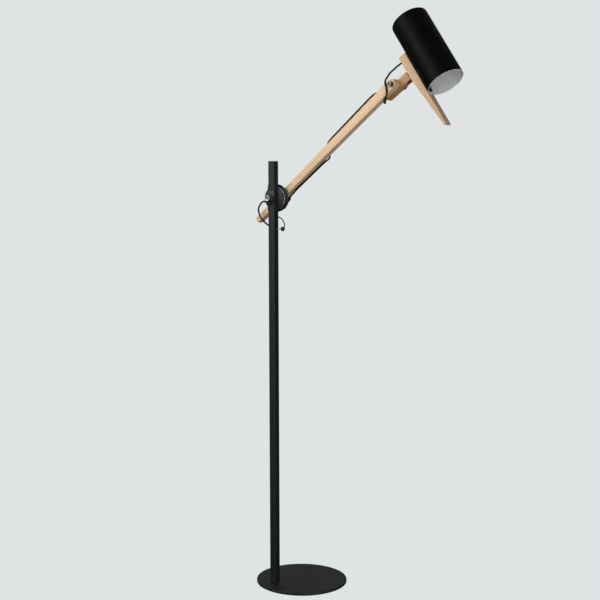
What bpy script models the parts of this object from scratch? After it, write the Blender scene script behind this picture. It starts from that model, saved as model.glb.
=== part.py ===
"""Adjustable arm floor lamp: a square post on a round base, a wooden arm on a clamp, a tilting drum shade.

Metres, +Z up. The origin is the centre of the base's underside, and the arm runs toward +X.
Each moving part hangs from an empty on its joint's axis: stand, clamp, arm, link, head.
"""

import math

import bmesh
import bpy
from mathutils import Vector

MM = 0.001
GAP = 0.3 * MM
WALL_CLEARANCE = 0.3 * MM

# Stand
BASE_DIAMETER = 280 * MM
BASE_THICKNESS = 8 * MM
BASE_EDGE = 2 * MM
PAD_THICKNESS = 1.2 * MM
PAD_INSET = 3 * MM
POST_OFFSET = Vector((-51.3 * MM, -70.4 * MM, 0.0))
POST_WIDTH = 22 * MM
POST_WALL = 1.5 * MM
POST_CORNER = 1.6 * MM
STAND_HEIGHT = 1307 * MM
CAP_FLANGE = 2 * MM
CAP_PLUG = 12 * MM
INSERT_LENGTH = 25 * MM
FOOT_BOLT_RADIUS = 4 * MM
FOOT_HEAD_RADIUS = 8 * MM
FOOT_HEAD_DEPTH = 4.4 * MM
GLAND_CLEARANCE = 22 * MM
GROMMET_HEIGHT = 1113 * MM
BUSH_NECK = 4 * MM
BUSH_FLANGE = 5.5 * MM
BUSH_FLANGE_DEPTH = 2.2 * MM
FLEX_RADIUS = 2.6 * MM
FLEX_BORE = 2.95 * MM

# Stop pin and its tether
PIN_HEIGHT = 1104 * MM
PIN_RADIUS = 1.4 * MM
PIN_TIP = 2 * MM
BALL_RADIUS = 6.75 * MM
BALL_REACH = 34.9 * MM
TETHER_RADIUS = 1.6 * MM
TETHER_HEIGHT = 1138 * MM
EYELET_RADIUS = 3.6 * MM
EYELET_DEPTH = 2.6 * MM
EYELET_X = 3.5 * MM

# Clamp and hub, on the post; the hub's axis is along Y
CLAMP_HEIGHT = 1195.8 * MM
CLAMP_WALL = 1.5 * MM
CHEEK_HALF = 39 * MM
STRAP_HALF = 22 * MM
BOSS_RADIUS = 6 * MM
BOSS_DEPTH = 4 * MM
HUB_RADIUS = 34.5 * MM
RING_WALL = 3.5 * MM
CAP_FRONT = 2 * MM
RING_START = 8.6 * MM
RING_LENGTH = 9.4 * MM
FLANGE_RADIUS = 41.5 * MM
FLANGE_THICKNESS = 2 * MM
BOLT_RADIUS = 4 * MM
PIVOT_HEAD_RADIUS = 8 * MM
PIVOT_HEAD_DEPTH = 3.6 * MM
SPACER_RADIUS = 11 * MM
SPACER_LENGTH = 7.8 * MM
THUMB_RADIUS = 9.75 * MM
THUMB_LENGTH = 13.9 * MM
THUMB_SHANK = 3 * MM

# Arm, in its own frame: X along it from the pivot, Y its depth
ARM_ELEVATION = math.radians(39.32)
ARM_REACH = 511.3 * MM
ARM_TAIL = 111 * MM
ARM_DEPTH = 25.3 * MM
ARM_HALF_AT_PIVOT = 9.3 * MM
ARM_HALF_AT_ELBOW = 13.7 * MM
WASHER_RADIUS = 11 * MM
WASHER_THICKNESS = 1.6 * MM
KNOB_RADIUS = 15 * MM
KNOB_LENGTH = 15.5 * MM
KNOB_BORE_DEPTH = 11 * MM
SOCKET_HEAD_RADIUS = 6.5 * MM
SOCKET_HEAD_LENGTH = 8 * MM
SOCKET_HEX = 3.4 * MM
SOCKET_DEPTH = 4 * MM

# Link, in its own frame: X along it from the elbow bolt
LINK_ELEVATION = math.radians(36.65)
LINK_HEEL = 50 * MM
LINK_LENGTH = 45.5 * MM
LINK_HEIGHT = 24.5 * MM
LINK_DEPTH = 27.4 * MM
LINK_DROP = 5.5 * MM
ELBOW_SHIM = 0.7 * MM
BARREL_RADIUS = 6 * MM
BARREL_SETBACK = 13 * MM
BARREL_LENGTH = 18 * MM
BARREL_RECESS = 0.4 * MM
LINK_BOLT_RADIUS = 3 * MM
LINK_BOLT_HEAD = 6 * MM
LINK_BOLT_HEAD_DEPTH = 3.2 * MM
LINK_WASHER = 0.8 * MM
BUSH_WALL = 1.5 * MM
BUSH_LENGTH = 15 * MM

# Head, in its own frame: X the swivel axis, away from the arm; Z up the shade
SWIVEL = math.radians(-6.5)
LEVER_WIDTH = 26.5 * MM
LEVER_THICKNESS = 24.5 * MM
LEVER_TIP_THICKNESS = 6.5 * MM
LEVER_TOP = 60.4 * MM
LEVER_TIP = -192.2 * MM
LEVER_TAPER = -14 * MM
SHADE_RADIUS = 54.2 * MM
SHADE_LENGTH = 227.3 * MM
SHADE_WALL = 1.0 * MM
SHADE_CORNER = 7 * MM
SHADE_MOUTH = -90.8 * MM
SHADE_STANDOFF = 1.0 * MM
SCREW_RADIUS = 2 * MM
SCREW_HEAD = 4 * MM
SCREW_HEAD_DEPTH = 2.5 * MM
SCREW_REACH = 16 * MM
LOWER_SCREW = 20 * MM
UPPER_SCREW = 24 * MM
SHADE_PAD_RADIUS = 11 * MM
SHADE_PAD_DEPTH = 3.2 * MM
FLEX_HOLE = 49.5 * MM
BRACKET_WIDTH = 14 * MM
BRACKET_THICKNESS = 1.5 * MM
BRACKET_TOP = 112 * MM
BRACKET_FOOT = 10 * MM
BRACKET_ARM_END = 12 * MM
NIPPLE_RADIUS = 5 * MM
NIPPLE_ABOVE = 9 * MM
NIPPLE_BELOW = 7 * MM
NUT_RADIUS = 8 * MM
NUT_HEIGHT = 3.5 * MM
HOLDER_RADIUS = 19 * MM
HOLDER_LENGTH = 50 * MM
HOLDER_WALL = 2.2 * MM
HOLDER_ROOF = 8 * MM
HOLDER_RING = 22 * MM
HOLDER_RING_LENGTH = 7 * MM
CAP_RADIUS = 13.2 * MM
CAP_LENGTH = 26 * MM
BULB_RADIUS = 29 * MM
BULB_LENGTH = 84 * MM
BULB_NECK = 13.4 * MM

AXIS_TURN = {
    "x": (0.0, math.radians(90), 0.0),
    "y": (math.radians(-90), 0.0, 0.0),
    "z": (0.0, 0.0, 0.0),
}
UPRIGHT = (math.radians(90), 0.0, 0.0)

# Where pieces meet, worked out from the sizes above
BASE_TOP = PAD_THICKNESS + GAP + BASE_THICKNESS
POST_BOTTOM = BASE_TOP + GAP
POST_TOP = STAND_HEIGHT - CAP_FLANGE - GAP
POST_HALF = POST_WIDTH / 2
GLAND_HEIGHT = POST_BOTTOM + INSERT_LENGTH + GLAND_CLEARANCE
POST_BORE = POST_WIDTH - 2 * POST_WALL
CHANNEL_HALF = POST_HALF + WALL_CLEARANCE
SLEEVE_HALF = CHANNEL_HALF + CLAMP_WALL
RING_END = RING_START + RING_LENGTH
CORE_RADIUS = HUB_RADIUS - RING_WALL - WALL_CLEARANCE
FLANGE_START = RING_END + GAP
FLANGE_END = FLANGE_START + FLANGE_THICKNESS
SPACER_START = FLANGE_END + GAP
ARM_NEAR = SPACER_START + SPACER_LENGTH + GAP
ARM_FAR = ARM_NEAR + ARM_DEPTH
SHIM_START = ARM_FAR + GAP
LINK_NEAR = SHIM_START + ELBOW_SHIM + GAP
LINK_FAR = LINK_NEAR + LINK_DEPTH
BOLT_BORE = BOLT_RADIUS + GAP
SWIVEL_Y = (LINK_NEAR + LINK_FAR) / 2
LINK_BOLT_BORE = LINK_BOLT_RADIUS + GAP
LEVER_BACK = LINK_LENGTH + LINK_WASHER + 2 * GAP
LEVER_FRONT = LEVER_BACK + LEVER_THICKNESS
SHADE_AXIS = LEVER_FRONT + SHADE_STANDOFF + SHADE_RADIUS
SHADE_INSIDE = SHADE_RADIUS - SHADE_WALL
SHADE_TOP = SHADE_MOUTH + SHADE_LENGTH
SCREW_BORE = SCREW_RADIUS + GAP
BRACKET_SAG = SHADE_INSIDE - math.sqrt(SHADE_INSIDE**2 - (BRACKET_WIDTH / 2) ** 2)
BRACKET_BACK = SHADE_AXIS - SHADE_INSIDE + BRACKET_SAG + GAP
HOLDER_TOP = BRACKET_TOP - GAP
HOLDER_BOTTOM = HOLDER_TOP - HOLDER_LENGTH
CAP_TOP = HOLDER_TOP - HOLDER_ROOF - GAP
CAP_BOTTOM = CAP_TOP - CAP_LENGTH


# ---------------------------------------------------------------- scene and finishes


def clear_scene():
    """Removes every object, mesh, curve and material that a new file starts with."""
    for obj in list(bpy.data.objects):
        bpy.data.objects.remove(obj, do_unlink=True)


def new_collection(name):
    """A collection linked to the scene."""
    collection = bpy.data.collections.new(name)
    bpy.context.scene.collection.children.link(collection)
    return collection


def linear(hex_colour):
    """The linear RGBA of an sRGB colour such as 2d2d2d."""
    channels = [int(hex_colour[i : i + 2], 16) / 255 for i in (0, 2, 4)]
    return [c / 12.92 if c <= 0.04045 else ((c + 0.055) / 1.055) ** 2.4 for c in channels] + [1.0]


def finish(name, hex_colour, roughness, metallic=0.0):
    """A Principled material, made once for each name."""
    found = bpy.data.materials.get(name)
    if found:
        return found
    material = bpy.data.materials.new(name)
    material.use_nodes = True
    shader = material.node_tree.nodes["Principled BSDF"]
    shader.inputs["Base Color"].default_value = linear(hex_colour)
    shader.inputs["Roughness"].default_value = roughness
    shader.inputs["Metallic"].default_value = metallic
    return material


def black_paint():
    return finish("black_paint", "1f2021", 0.45)


def shade_paint():
    return finish("shade_paint", "161616", 0.4)


def clamp_black():
    return finish("clamp_black", "2b2d30", 0.5)


def knob_plastic():
    return finish("knob_plastic", "1a1a1a", 0.55)


def wood():
    return finish("beech_wood", "c49a6c", 0.5)


def chrome():
    return finish("chrome", "c9cbcd", 0.12, 1.0)


def aluminium():
    return finish("polished_aluminium", "d2d3d5", 0.2, 1.0)


def steel():
    return finish("zinc_steel", "a9abad", 0.3, 1.0)


def brass():
    return finish("brass", "b59a56", 0.3, 1.0)


def rubber():
    return finish("rubber", "17181a", 0.8)


def holder_plastic():
    return finish("holder_plastic", "202020", 0.4)


def bulb_glass():
    return finish("bulb_glass", "f0efe9", 0.3)


def flex_sheath():
    return finish("flex_sheath", "151617", 0.5)


def tether_cord():
    return finish("tether_cord", "1b1b1c", 0.7)


# ---------------------------------------------------------------- shape helpers


def place(name, mesh, frame, material, location=(0, 0, 0), rotation=(0, 0, 0)):
    """A named object of the lamp, in the frame of an empty."""
    obj = bpy.data.objects.new(name, mesh)
    bpy.data.collections["floor_lamp"].objects.link(obj)
    obj.parent = frame
    obj.location = location
    obj.rotation_euler = rotation
    if material:
        obj.data.materials.append(material)
    return obj


def as_helper(obj):
    """Moves an object among the cutters and hides it from renders."""
    bpy.data.collections["floor_lamp"].objects.unlink(obj)
    bpy.data.collections["cutters"].objects.link(obj)
    obj.hide_render = True
    obj.display_type = "WIRE"
    return obj


def frame_empty(name, parent, location=(0, 0, 0), rotation=(0, 0, 0)):
    """An empty on a joint's axis, which the pieces of one body hang from."""
    empty = bpy.data.objects.new(name, None)
    bpy.data.collections["floor_lamp"].objects.link(empty)
    empty.parent = parent
    empty.location = location
    empty.rotation_euler = rotation
    return empty


def block(name, x_span, y_span, z_span, frame, material=None):
    """A box between two planes on each axis of its frame."""
    spans = (x_span, y_span, z_span)
    mesh = bpy.data.meshes.new(name)
    shape = bmesh.new()
    bmesh.ops.create_cube(shape, size=1.0)
    bmesh.ops.scale(shape, vec=[high - low for low, high in spans], verts=shape.verts)
    shape.to_mesh(mesh)
    shape.free()
    return place(name, mesh, frame, material, [(low + high) / 2 for low, high in spans])


def rod(name, radius, start, end, frame, material=None, at=(0, 0, 0), axis="z", sides=24):
    """A cylinder along one axis, from start to end, through the point at."""
    mesh = bpy.data.meshes.new(name)
    shape = bmesh.new()
    bmesh.ops.create_cone(
        shape, cap_ends=True, segments=sides, radius1=radius, radius2=radius, depth=end - start
    )
    shape.to_mesh(mesh)
    shape.free()
    location = Vector(at)
    location["xyz".index(axis)] += (start + end) / 2
    obj = place(name, mesh, frame, material, location, AXIS_TURN[axis])
    return smooth(obj)


def smooth(obj):
    """Smooth shading, with edges over 35 degrees left sharp."""
    obj.data.shade_smooth()
    obj.data.set_sharp_from_angle(angle=math.radians(35))
    return obj


def turned(name, profile, frame, material=None, at=(0, 0, 0), axis="z", sides=32, ring=False):
    """A shape turned about an axis. The profile of (radius, height) points runs down the outer side."""
    edges = [(i, i + 1) for i in range(len(profile) - 1)]
    if ring:
        edges.append((len(profile) - 1, 0))
    mesh = bpy.data.meshes.new(name)
    mesh.from_pydata([(radius, 0.0, height) for radius, height in profile], edges, [])
    obj = place(name, mesh, frame, material, at, AXIS_TURN[axis])
    screw = obj.modifiers.new("turn", "SCREW")
    screw.steps = sides
    screw.render_steps = sides
    screw.use_merge_vertices = True
    screw.merge_threshold = 0.00001
    return obj


def ring(name, outer, inner, start, end, frame, material, at=(0, 0, 0), axis="z", sides=32):
    """A plain washer or sleeve along an axis."""
    profile = [(outer, end), (outer, start), (inner, start), (inner, end)]
    return turned(name, profile, frame, material, at, axis, sides, ring=True)


def arc(centre, radius, start, end, steps):
    """Points along an arc, the angles in degrees."""
    angles = [math.radians(start + (end - start) * i / steps) for i in range(steps + 1)]
    return [(centre[0] + radius * math.cos(a), centre[1] + radius * math.sin(a)) for a in angles]


def rounded_square(half, corner, steps=3):
    """The outline of a square with round corners."""
    inset = half - corner
    points = []
    for index, (x, y) in enumerate([(inset, inset), (-inset, inset), (-inset, -inset), (inset, -inset)]):
        points += arc((x, y), corner, 90 * index, 90 * index + 90, steps)
    return points


def circle(centre, radius, sides=24):
    """A closed round outline."""
    return arc(centre, radius, 0, 360 - 360 / sides, sides - 1)


def extruded(name, outlines, low, high, frame, material=None, at=(0, 0, 0), rotation=(0, 0, 0)):
    """A flat outline, and its holes, extruded along its own Z from low to high and welded into one mesh."""
    curve = bpy.data.curves.new(name, "CURVE")
    curve.dimensions = "2D"
    curve.fill_mode = "BOTH"
    curve.extrude = (high - low) / 2
    for outline in outlines:
        spline = curve.splines.new("POLY")
        spline.points.add(len(outline) - 1)
        for point, (x, y) in zip(spline.points, outline):
            point.co = (x, y, 0.0, 1.0)
        spline.use_cyclic_u = True
    drawn = place(name + "_outline", curve, None, None)
    mesh = bpy.data.meshes.new_from_object(drawn.evaluated_get(bpy.context.evaluated_depsgraph_get()))
    bpy.data.objects.remove(drawn)
    bpy.data.curves.remove(curve)
    shape = bmesh.new()
    shape.from_mesh(mesh)
    bmesh.ops.remove_doubles(shape, verts=shape.verts, dist=0.000001)
    bmesh.ops.dissolve_limit(
        shape, angle_limit=math.radians(0.5), verts=shape.verts, edges=shape.edges
    )
    bmesh.ops.recalc_face_normals(shape, faces=shape.faces)
    bmesh.ops.translate(shape, vec=(0, 0, (low + high) / 2), verts=shape.verts)
    shape.to_mesh(mesh)
    shape.free()
    return place(name, mesh, frame, material, at, rotation)


def boolean(obj, helper, operation="DIFFERENCE"):
    """Cuts, joins or intersects an object with a helper, which then hides among the cutters."""
    modifier = obj.modifiers.new(operation.lower(), "BOOLEAN")
    modifier.operation = operation
    modifier.object = as_helper(helper)
    return obj


def smooth_route(points, spacing):
    """Points about one spacing apart on a Catmull-Rom curve through a route's own points."""
    route = [Vector(p) for p in points]
    route = [2 * route[0] - route[1], *route, 2 * route[-1] - route[-2]]
    samples = [route[1]]
    for a, b, c, d in zip(route, route[1:], route[2:], route[3:]):
        steps = max(1, round((c - b).length / spacing))
        for i in range(1, steps + 1):
            t = i / steps
            near = 2 * b + (c - a) * t
            far = (2 * a - 5 * b + 4 * c - d) * t**2 + (3 * b - a - 3 * c + d) * t**3
            samples.append((near + far) / 2)
    return samples


def flexible(name, route, radius, frame, material, spacing=None):
    """A round cord along a smooth curve through its route."""
    curve = bpy.data.curves.new(name, "CURVE")
    curve.dimensions = "3D"
    curve.bevel_depth = radius
    curve.bevel_resolution = 2
    curve.use_fill_caps = True
    samples = smooth_route([[c * MM for c in p] for p in route], spacing or 5 * radius)
    spline = curve.splines.new("POLY")
    spline.points.add(len(samples) - 1)
    for point, place_at in zip(spline.points, samples):
        point.co = (*place_at, 1.0)
    return place(name, curve, frame, material)


# ---------------------------------------------------------------- stand


def foot_bolt_profile(clearance):
    """A countersunk bolt from its tip down to its head, in the frame of the post."""
    head_bottom = PAD_THICKNESS + GAP
    shank = FOOT_BOLT_RADIUS + clearance
    head = FOOT_HEAD_RADIUS + clearance
    tip = POST_BOTTOM + INSERT_LENGTH - 2 * MM + clearance
    return [
        (0.0, tip),
        (shank, tip),
        (shank, head_bottom + FOOT_HEAD_DEPTH),
        (head, head_bottom + FOOT_HEAD_DEPTH - (head - shank)),
        (head, head_bottom + (0.2 * MM if not clearance else -GAP)),
        (0.0, head_bottom + (0.2 * MM if not clearance else -GAP)),
    ]


def make_base(stand, ground):
    """The heavy round base, its rubber pad and the bolt that holds the post."""
    radius = BASE_DIAMETER / 2
    low = PAD_THICKNESS + GAP
    profile = [
        (0.0, BASE_TOP),
        (radius - BASE_EDGE, BASE_TOP),
        (radius - BASE_EDGE * 0.3, BASE_TOP - BASE_EDGE * 0.3),
        (radius, BASE_TOP - BASE_EDGE),
        (radius, low + 0.6 * MM),
        (radius - 0.6 * MM, low),
        (0.0, low),
    ]
    disc = turned("base_disc", profile, ground, black_paint(), sides=96)
    boolean(disc, turned("foot_bolt_cutter", foot_bolt_profile(GAP), stand, sides=24))
    rod("base_pad", radius - PAD_INSET, 0.0, PAD_THICKNESS, ground, rubber(), sides=64)
    turned("foot_bolt", foot_bolt_profile(0.0), stand, steel(), sides=24)


def make_foot_insert(stand):
    """The threaded block in the foot of the post."""
    half = POST_BORE / 2 - WALL_CLEARANCE
    low = POST_BOTTOM + GAP
    span = (-half, half)
    insert = block("foot_insert", span, span, (low, low + INSERT_LENGTH), stand, steel())
    bore = FOOT_BOLT_RADIUS + GAP
    boolean(insert, rod("foot_insert_bore", bore, 0.0, low + 2 * INSERT_LENGTH, stand))


def bush_profile(outer_face):
    """A flanged bush: its neck goes through the post's wall, which lies below outer_face."""
    top = outer_face + GAP + BUSH_FLANGE_DEPTH
    return [
        (BUSH_FLANGE - 0.7 * MM, top),
        (BUSH_FLANGE, top - 0.7 * MM),
        (BUSH_FLANGE, outer_face + GAP),
        (BUSH_NECK, outer_face + GAP),
        (BUSH_NECK, outer_face - POST_WALL - 1 * MM),
        (FLEX_BORE, outer_face - POST_WALL - 1 * MM),
        (FLEX_BORE, top),
    ]


def make_post(stand):
    """The square tube with its cable and pin holes, its top cap and its bushes."""
    outlines = [
        rounded_square(POST_HALF, POST_CORNER),
        rounded_square(POST_BORE / 2, POST_CORNER / 2),
    ]
    post = extruded("post", outlines, POST_BOTTOM, POST_TOP, stand, black_paint())
    neck = BUSH_NECK + WALL_CLEARANCE
    left = (0.0, 0.0, GROMMET_HEIGHT)
    boolean(post, rod("grommet_hole", neck, -POST_WIDTH, 0.0, stand, None, left, "x", 16))
    rear = (0.0, 0.0, GLAND_HEIGHT)
    boolean(post, rod("gland_hole", neck, 0.0, POST_WIDTH, stand, None, rear, "y", 16))
    right = (0.0, 0.0, PIN_HEIGHT)
    boolean(post, rod("pin_hole", PIN_RADIUS + GAP, 0.0, POST_WIDTH, stand, None, right, "x", 12))
    grommet = bush_profile(POST_HALF)
    bush = turned("cable_grommet", grommet, stand, rubber(), left, "x", 20, ring=True)
    bush.rotation_euler = (0.0, math.radians(-90), 0.0)
    turned("outlet_gland", grommet, stand, rubber(), rear, "y", 20, ring=True)


def make_post_cap(stand):
    """The plastic cap that plugs the top of the post."""
    top = POST_TOP + GAP
    outline = rounded_square(POST_HALF, POST_CORNER)
    cap = extruded("post_cap", [outline], top, top + CAP_FLANGE, stand, knob_plastic())
    half = POST_BORE / 2 - WALL_CLEARANCE
    plug = block("post_cap_plug", (-half, half), (-half, half), (top - CAP_PLUG, top + 1 * MM), stand)
    boolean(cap, plug, "UNION")


def make_stop_pin(stand):
    """The pin with its ball, which stops the clamp from sliding down the post."""
    frame = frame_empty("stop_pin_frame", stand, (0.0, 0.0, PIN_HEIGHT))
    reach = BALL_REACH - BALL_RADIUS + 1 * MM
    rod("stop_pin", PIN_RADIUS, PIN_TIP, reach, frame, steel(), axis="x", sides=12)
    mesh = bpy.data.meshes.new("pin_ball")
    shape = bmesh.new()
    bmesh.ops.create_uvsphere(shape, u_segments=18, v_segments=12, radius=BALL_RADIUS)
    shape.to_mesh(mesh)
    shape.free()
    ball = place("pin_ball", mesh, frame, knob_plastic(), (BALL_REACH, 0.0, 0.0))
    smooth(ball)
    bore = PIN_RADIUS + GAP
    boolean(ball, rod("pin_ball_bore", bore, 0.0, reach + GAP, frame, axis="x", sides=12))


def make_tether(stand):
    """The cord that keeps the pin with the lamp, from an eyelet on the post's rear face."""
    at = (EYELET_X, POST_HALF + GAP, TETHER_HEIGHT)
    rod("tether_eyelet", EYELET_RADIUS, 0.0, EYELET_DEPTH, stand, steel(), at, "y", 16)
    route = [
        (9.2, 13.4, 1138.0),
        (13.6, 12.3, 1138.8),
        (17.2, 6.5, 1139.3),
        (21.0, 1.5, 1138.8),
        (30.6, 0.0, 1134.8),
        (36.6, 0.0, 1128.4),
        (41.0, 0.0, 1120.7),
        (42.2, 0.0, 1114.4),
        (40.4, 0.0, 1109.6),
    ]
    flexible("tether", route, TETHER_RADIUS, stand, tether_cord())


# ---------------------------------------------------------------- clamp and hub


def make_clamp_body(clamp):
    """The sleeve around the post, with the hub's cap and core behind it."""
    side = (-SLEEVE_HALF, SLEEVE_HALF)
    tall = (-CHEEK_HALF, CHEEK_HALF)
    body = block("clamp_body", side, (-SLEEVE_HALF, RING_START - GAP), tall, clamp, clamp_black())
    core = rod("hub_core", CORE_RADIUS, CAP_FRONT + 1 * MM, RING_END, clamp, axis="y", sides=64)
    boolean(body, core, "UNION")
    cap = rod("hub_cap", HUB_RADIUS, CAP_FRONT, RING_START - GAP, clamp, axis="y", sides=64)
    boolean(body, cap, "UNION")
    front = -SLEEVE_HALF - BOSS_DEPTH
    boss = rod("boss", BOSS_RADIUS, front, -SLEEVE_HALF + 1 * MM, clamp, axis="y", sides=24)
    boolean(body, boss, "UNION")
    channel = (-CHANNEL_HALF, CHANNEL_HALF)
    boolean(body, block("post_channel", channel, channel, (-2 * CHEEK_HALF, 2 * CHEEK_HALF), clamp))
    for sign, label in ((1, "above"), (-1, "below")):
        heights = sorted((sign * STRAP_HALF, sign * 2 * CHEEK_HALF))
        wide = (-2 * SLEEVE_HALF, 2 * SLEEVE_HALF)
        gap_name = "strap_gap_" + label
        boolean(body, block(gap_name, wide, (-2 * SLEEVE_HALF, -POST_HALF), heights, clamp))
    pocket_end = CHANNEL_HALF + PIVOT_HEAD_DEPTH + 2 * GAP
    pocket_radius = PIVOT_HEAD_RADIUS + GAP
    boolean(body, rod("head_pocket", pocket_radius, 0.0, pocket_end, clamp, axis="y", sides=24))
    boolean(body, rod("pivot_hole", BOLT_BORE, 0.0, 2 * RING_END, clamp, axis="y", sides=20))
    thread = THUMB_SHANK + GAP
    boolean(body, rod("thumb_hole", thread, -4 * SLEEVE_HALF, 0.0, clamp, axis="y", sides=20))


def make_hub(clamp):
    """The polished ring, the black flange, the spacer and the bolt that the arm turns on."""
    bore = HUB_RADIUS - RING_WALL
    hub_ring = ring("hub_ring", HUB_RADIUS, bore, RING_START, RING_END, clamp, aluminium(), axis="y", sides=64)
    channel = (-CHANNEL_HALF, CHANNEL_HALF)
    boolean(hub_ring, block("ring_notch", channel, channel, (-2 * HUB_RADIUS, 2 * HUB_RADIUS), clamp))
    ring("hub_flange", FLANGE_RADIUS, BOLT_BORE, FLANGE_START, FLANGE_END, clamp, clamp_black(), axis="y", sides=64)
    spacer_end = SPACER_START + SPACER_LENGTH
    ring("pivot_spacer", SPACER_RADIUS, BOLT_BORE, SPACER_START, spacer_end, clamp, aluminium(), axis="y")
    head = CHANNEL_HALF + GAP
    tip = ARM_FAR + WASHER_THICKNESS + 2 * GAP + KNOB_BORE_DEPTH - GAP
    profile = [
        (0.0, tip),
        (BOLT_RADIUS, tip),
        (BOLT_RADIUS, head + PIVOT_HEAD_DEPTH),
        (PIVOT_HEAD_RADIUS, head + PIVOT_HEAD_DEPTH),
        (PIVOT_HEAD_RADIUS, head),
        (0.0, head),
    ]
    turned("pivot_bolt", profile, clamp, steel(), axis="y", sides=24)


def make_clamp_knob(clamp):
    """The chrome thumb screw that locks the clamp on the post."""
    low = -SLEEVE_HALF - BOSS_DEPTH - GAP
    bottom = low - THUMB_LENGTH
    chamfer = 1.2 * MM
    profile = [
        (0.0, -CHANNEL_HALF),
        (THUMB_SHANK, -CHANNEL_HALF),
        (THUMB_SHANK, low),
        (THUMB_RADIUS - chamfer, low),
        (THUMB_RADIUS, low - chamfer),
        (THUMB_RADIUS, bottom + chamfer),
        (THUMB_RADIUS - chamfer, bottom),
        (0.0, bottom),
    ]
    turned("clamp_knob", profile, clamp, chrome(), axis="y", sides=30)


def knob_profile(start):
    """A round hand nut from its domed end down to its open bore."""
    top = start + KNOB_LENGTH
    edge = 2 * MM
    return [
        (0.0, top),
        (KNOB_RADIUS - edge, top),
        (KNOB_RADIUS - edge * 0.3, top - edge * 0.3),
        (KNOB_RADIUS, top - edge),
        (KNOB_RADIUS, start + 1 * MM),
        (KNOB_RADIUS - 1 * MM, start),
        (BOLT_BORE, start),
        (BOLT_BORE, start + KNOB_BORE_DEPTH),
        (0.0, start + KNOB_BORE_DEPTH),
    ]


# ---------------------------------------------------------------- arm


def arm_half(along):
    """Half the arm's height at a distance from the pivot."""
    return ARM_HALF_AT_PIVOT + (ARM_HALF_AT_ELBOW - ARM_HALF_AT_PIVOT) * along / ARM_REACH


def make_arm(arm):
    """The tapered wooden arm, square at its tail and round about the elbow bolt."""
    tail = arm_half(-ARM_TAIL)
    outline = [(-ARM_TAIL, tail), (-ARM_TAIL, -tail)]
    outline += arc((ARM_REACH, 0.0), ARM_HALF_AT_ELBOW, -90, 90, 14)
    holes = [circle((0.0, 0.0), BOLT_BORE), circle((ARM_REACH, 0.0), BOLT_BORE)]
    bar = extruded("arm", [outline, *holes], -ARM_FAR, -ARM_NEAR, arm, wood(), rotation=UPRIGHT)
    bar.data.shade_smooth()
    bar.data.set_sharp_from_angle(angle=math.radians(35))


def make_pivot_nut(arm, clamp):
    """The washer behind the arm at its pivot, and the hand nut, which turns on the clamp's bolt."""
    start = ARM_FAR + GAP
    ring("pivot_washer", WASHER_RADIUS, BOLT_BORE, start, start + WASHER_THICKNESS, arm, steel(), axis="y")
    frame = frame_empty("pivot_knob_frame", clamp)
    knob_start = start + WASHER_THICKNESS + GAP
    turned("pivot_knob", knob_profile(knob_start), frame, knob_plastic(), axis="y", sides=28)


def make_elbow_bolt(arm):
    """The socket screw, its washers and the hand nut at the elbow."""
    elbow = (ARM_REACH, 0.0, 0.0)
    washer_end = ARM_NEAR - GAP
    washer_start = washer_end - WASHER_THICKNESS
    ring("elbow_washer", WASHER_RADIUS, BOLT_BORE, washer_start, washer_end, arm, steel(), elbow, "y")
    under_head = washer_start - GAP
    knob_start = LINK_FAR + GAP
    tip = knob_start + KNOB_BORE_DEPTH - GAP
    edge = 0.6 * MM
    profile = [
        (0.0, tip),
        (BOLT_RADIUS, tip),
        (BOLT_RADIUS, under_head),
        (SOCKET_HEAD_RADIUS, under_head),
        (SOCKET_HEAD_RADIUS, under_head - SOCKET_HEAD_LENGTH + edge),
        (SOCKET_HEAD_RADIUS - edge, under_head - SOCKET_HEAD_LENGTH),
        (0.0, under_head - SOCKET_HEAD_LENGTH),
    ]
    bolt = turned("elbow_bolt", profile, arm, steel(), elbow, "y", 24)
    head_face = under_head - SOCKET_HEAD_LENGTH
    low = head_face - SOCKET_DEPTH
    boolean(bolt, rod("elbow_hex", SOCKET_HEX, low, head_face + SOCKET_DEPTH, arm, None, elbow, "y", 6))
    ring("elbow_shim", WASHER_RADIUS, BOLT_BORE, SHIM_START, SHIM_START + ELBOW_SHIM, arm, rubber(), elbow, "y")
    frame = frame_empty("elbow_knob_frame", arm, elbow)
    turned("elbow_knob", knob_profile(knob_start), frame, knob_plastic(), axis="y", sides=28)


# ---------------------------------------------------------------- link


def make_link(link):
    """The wooden link behind the arm, with its elbow hole, swivel bore and barrel-nut bore."""
    top = LINK_HEIGHT / 2 - LINK_DROP
    low = -LINK_HEIGHT / 2 - LINK_DROP
    outline = [(-LINK_HEEL, top), (-LINK_HEEL, low), (LINK_LENGTH, low), (LINK_LENGTH, top)]
    holes = [circle((0.0, 0.0), BOLT_BORE)]
    bar = extruded("link", [outline, *holes], -LINK_FAR, -LINK_NEAR, link, wood(), rotation=UPRIGHT)
    barrel_at = (LINK_LENGTH - BARREL_SETBACK, SWIVEL_Y, 0.0)
    bore_top = low + BARREL_RECESS + BARREL_LENGTH + GAP
    bore_radius = BARREL_RADIUS + WALL_CLEARANCE
    boolean(bar, rod("barrel_bore", bore_radius, 2 * low, bore_top, link, None, barrel_at, "z", 32))
    swivel_at = (0.0, SWIVEL_Y, -LINK_DROP)
    bolt_end = LINK_LENGTH - 2 * BARREL_SETBACK + 3 * MM
    boolean(bar, rod("swivel_bore", LINK_BOLT_BORE, bolt_end, 2 * LINK_LENGTH, link, None, swivel_at, "x", 20))


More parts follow.
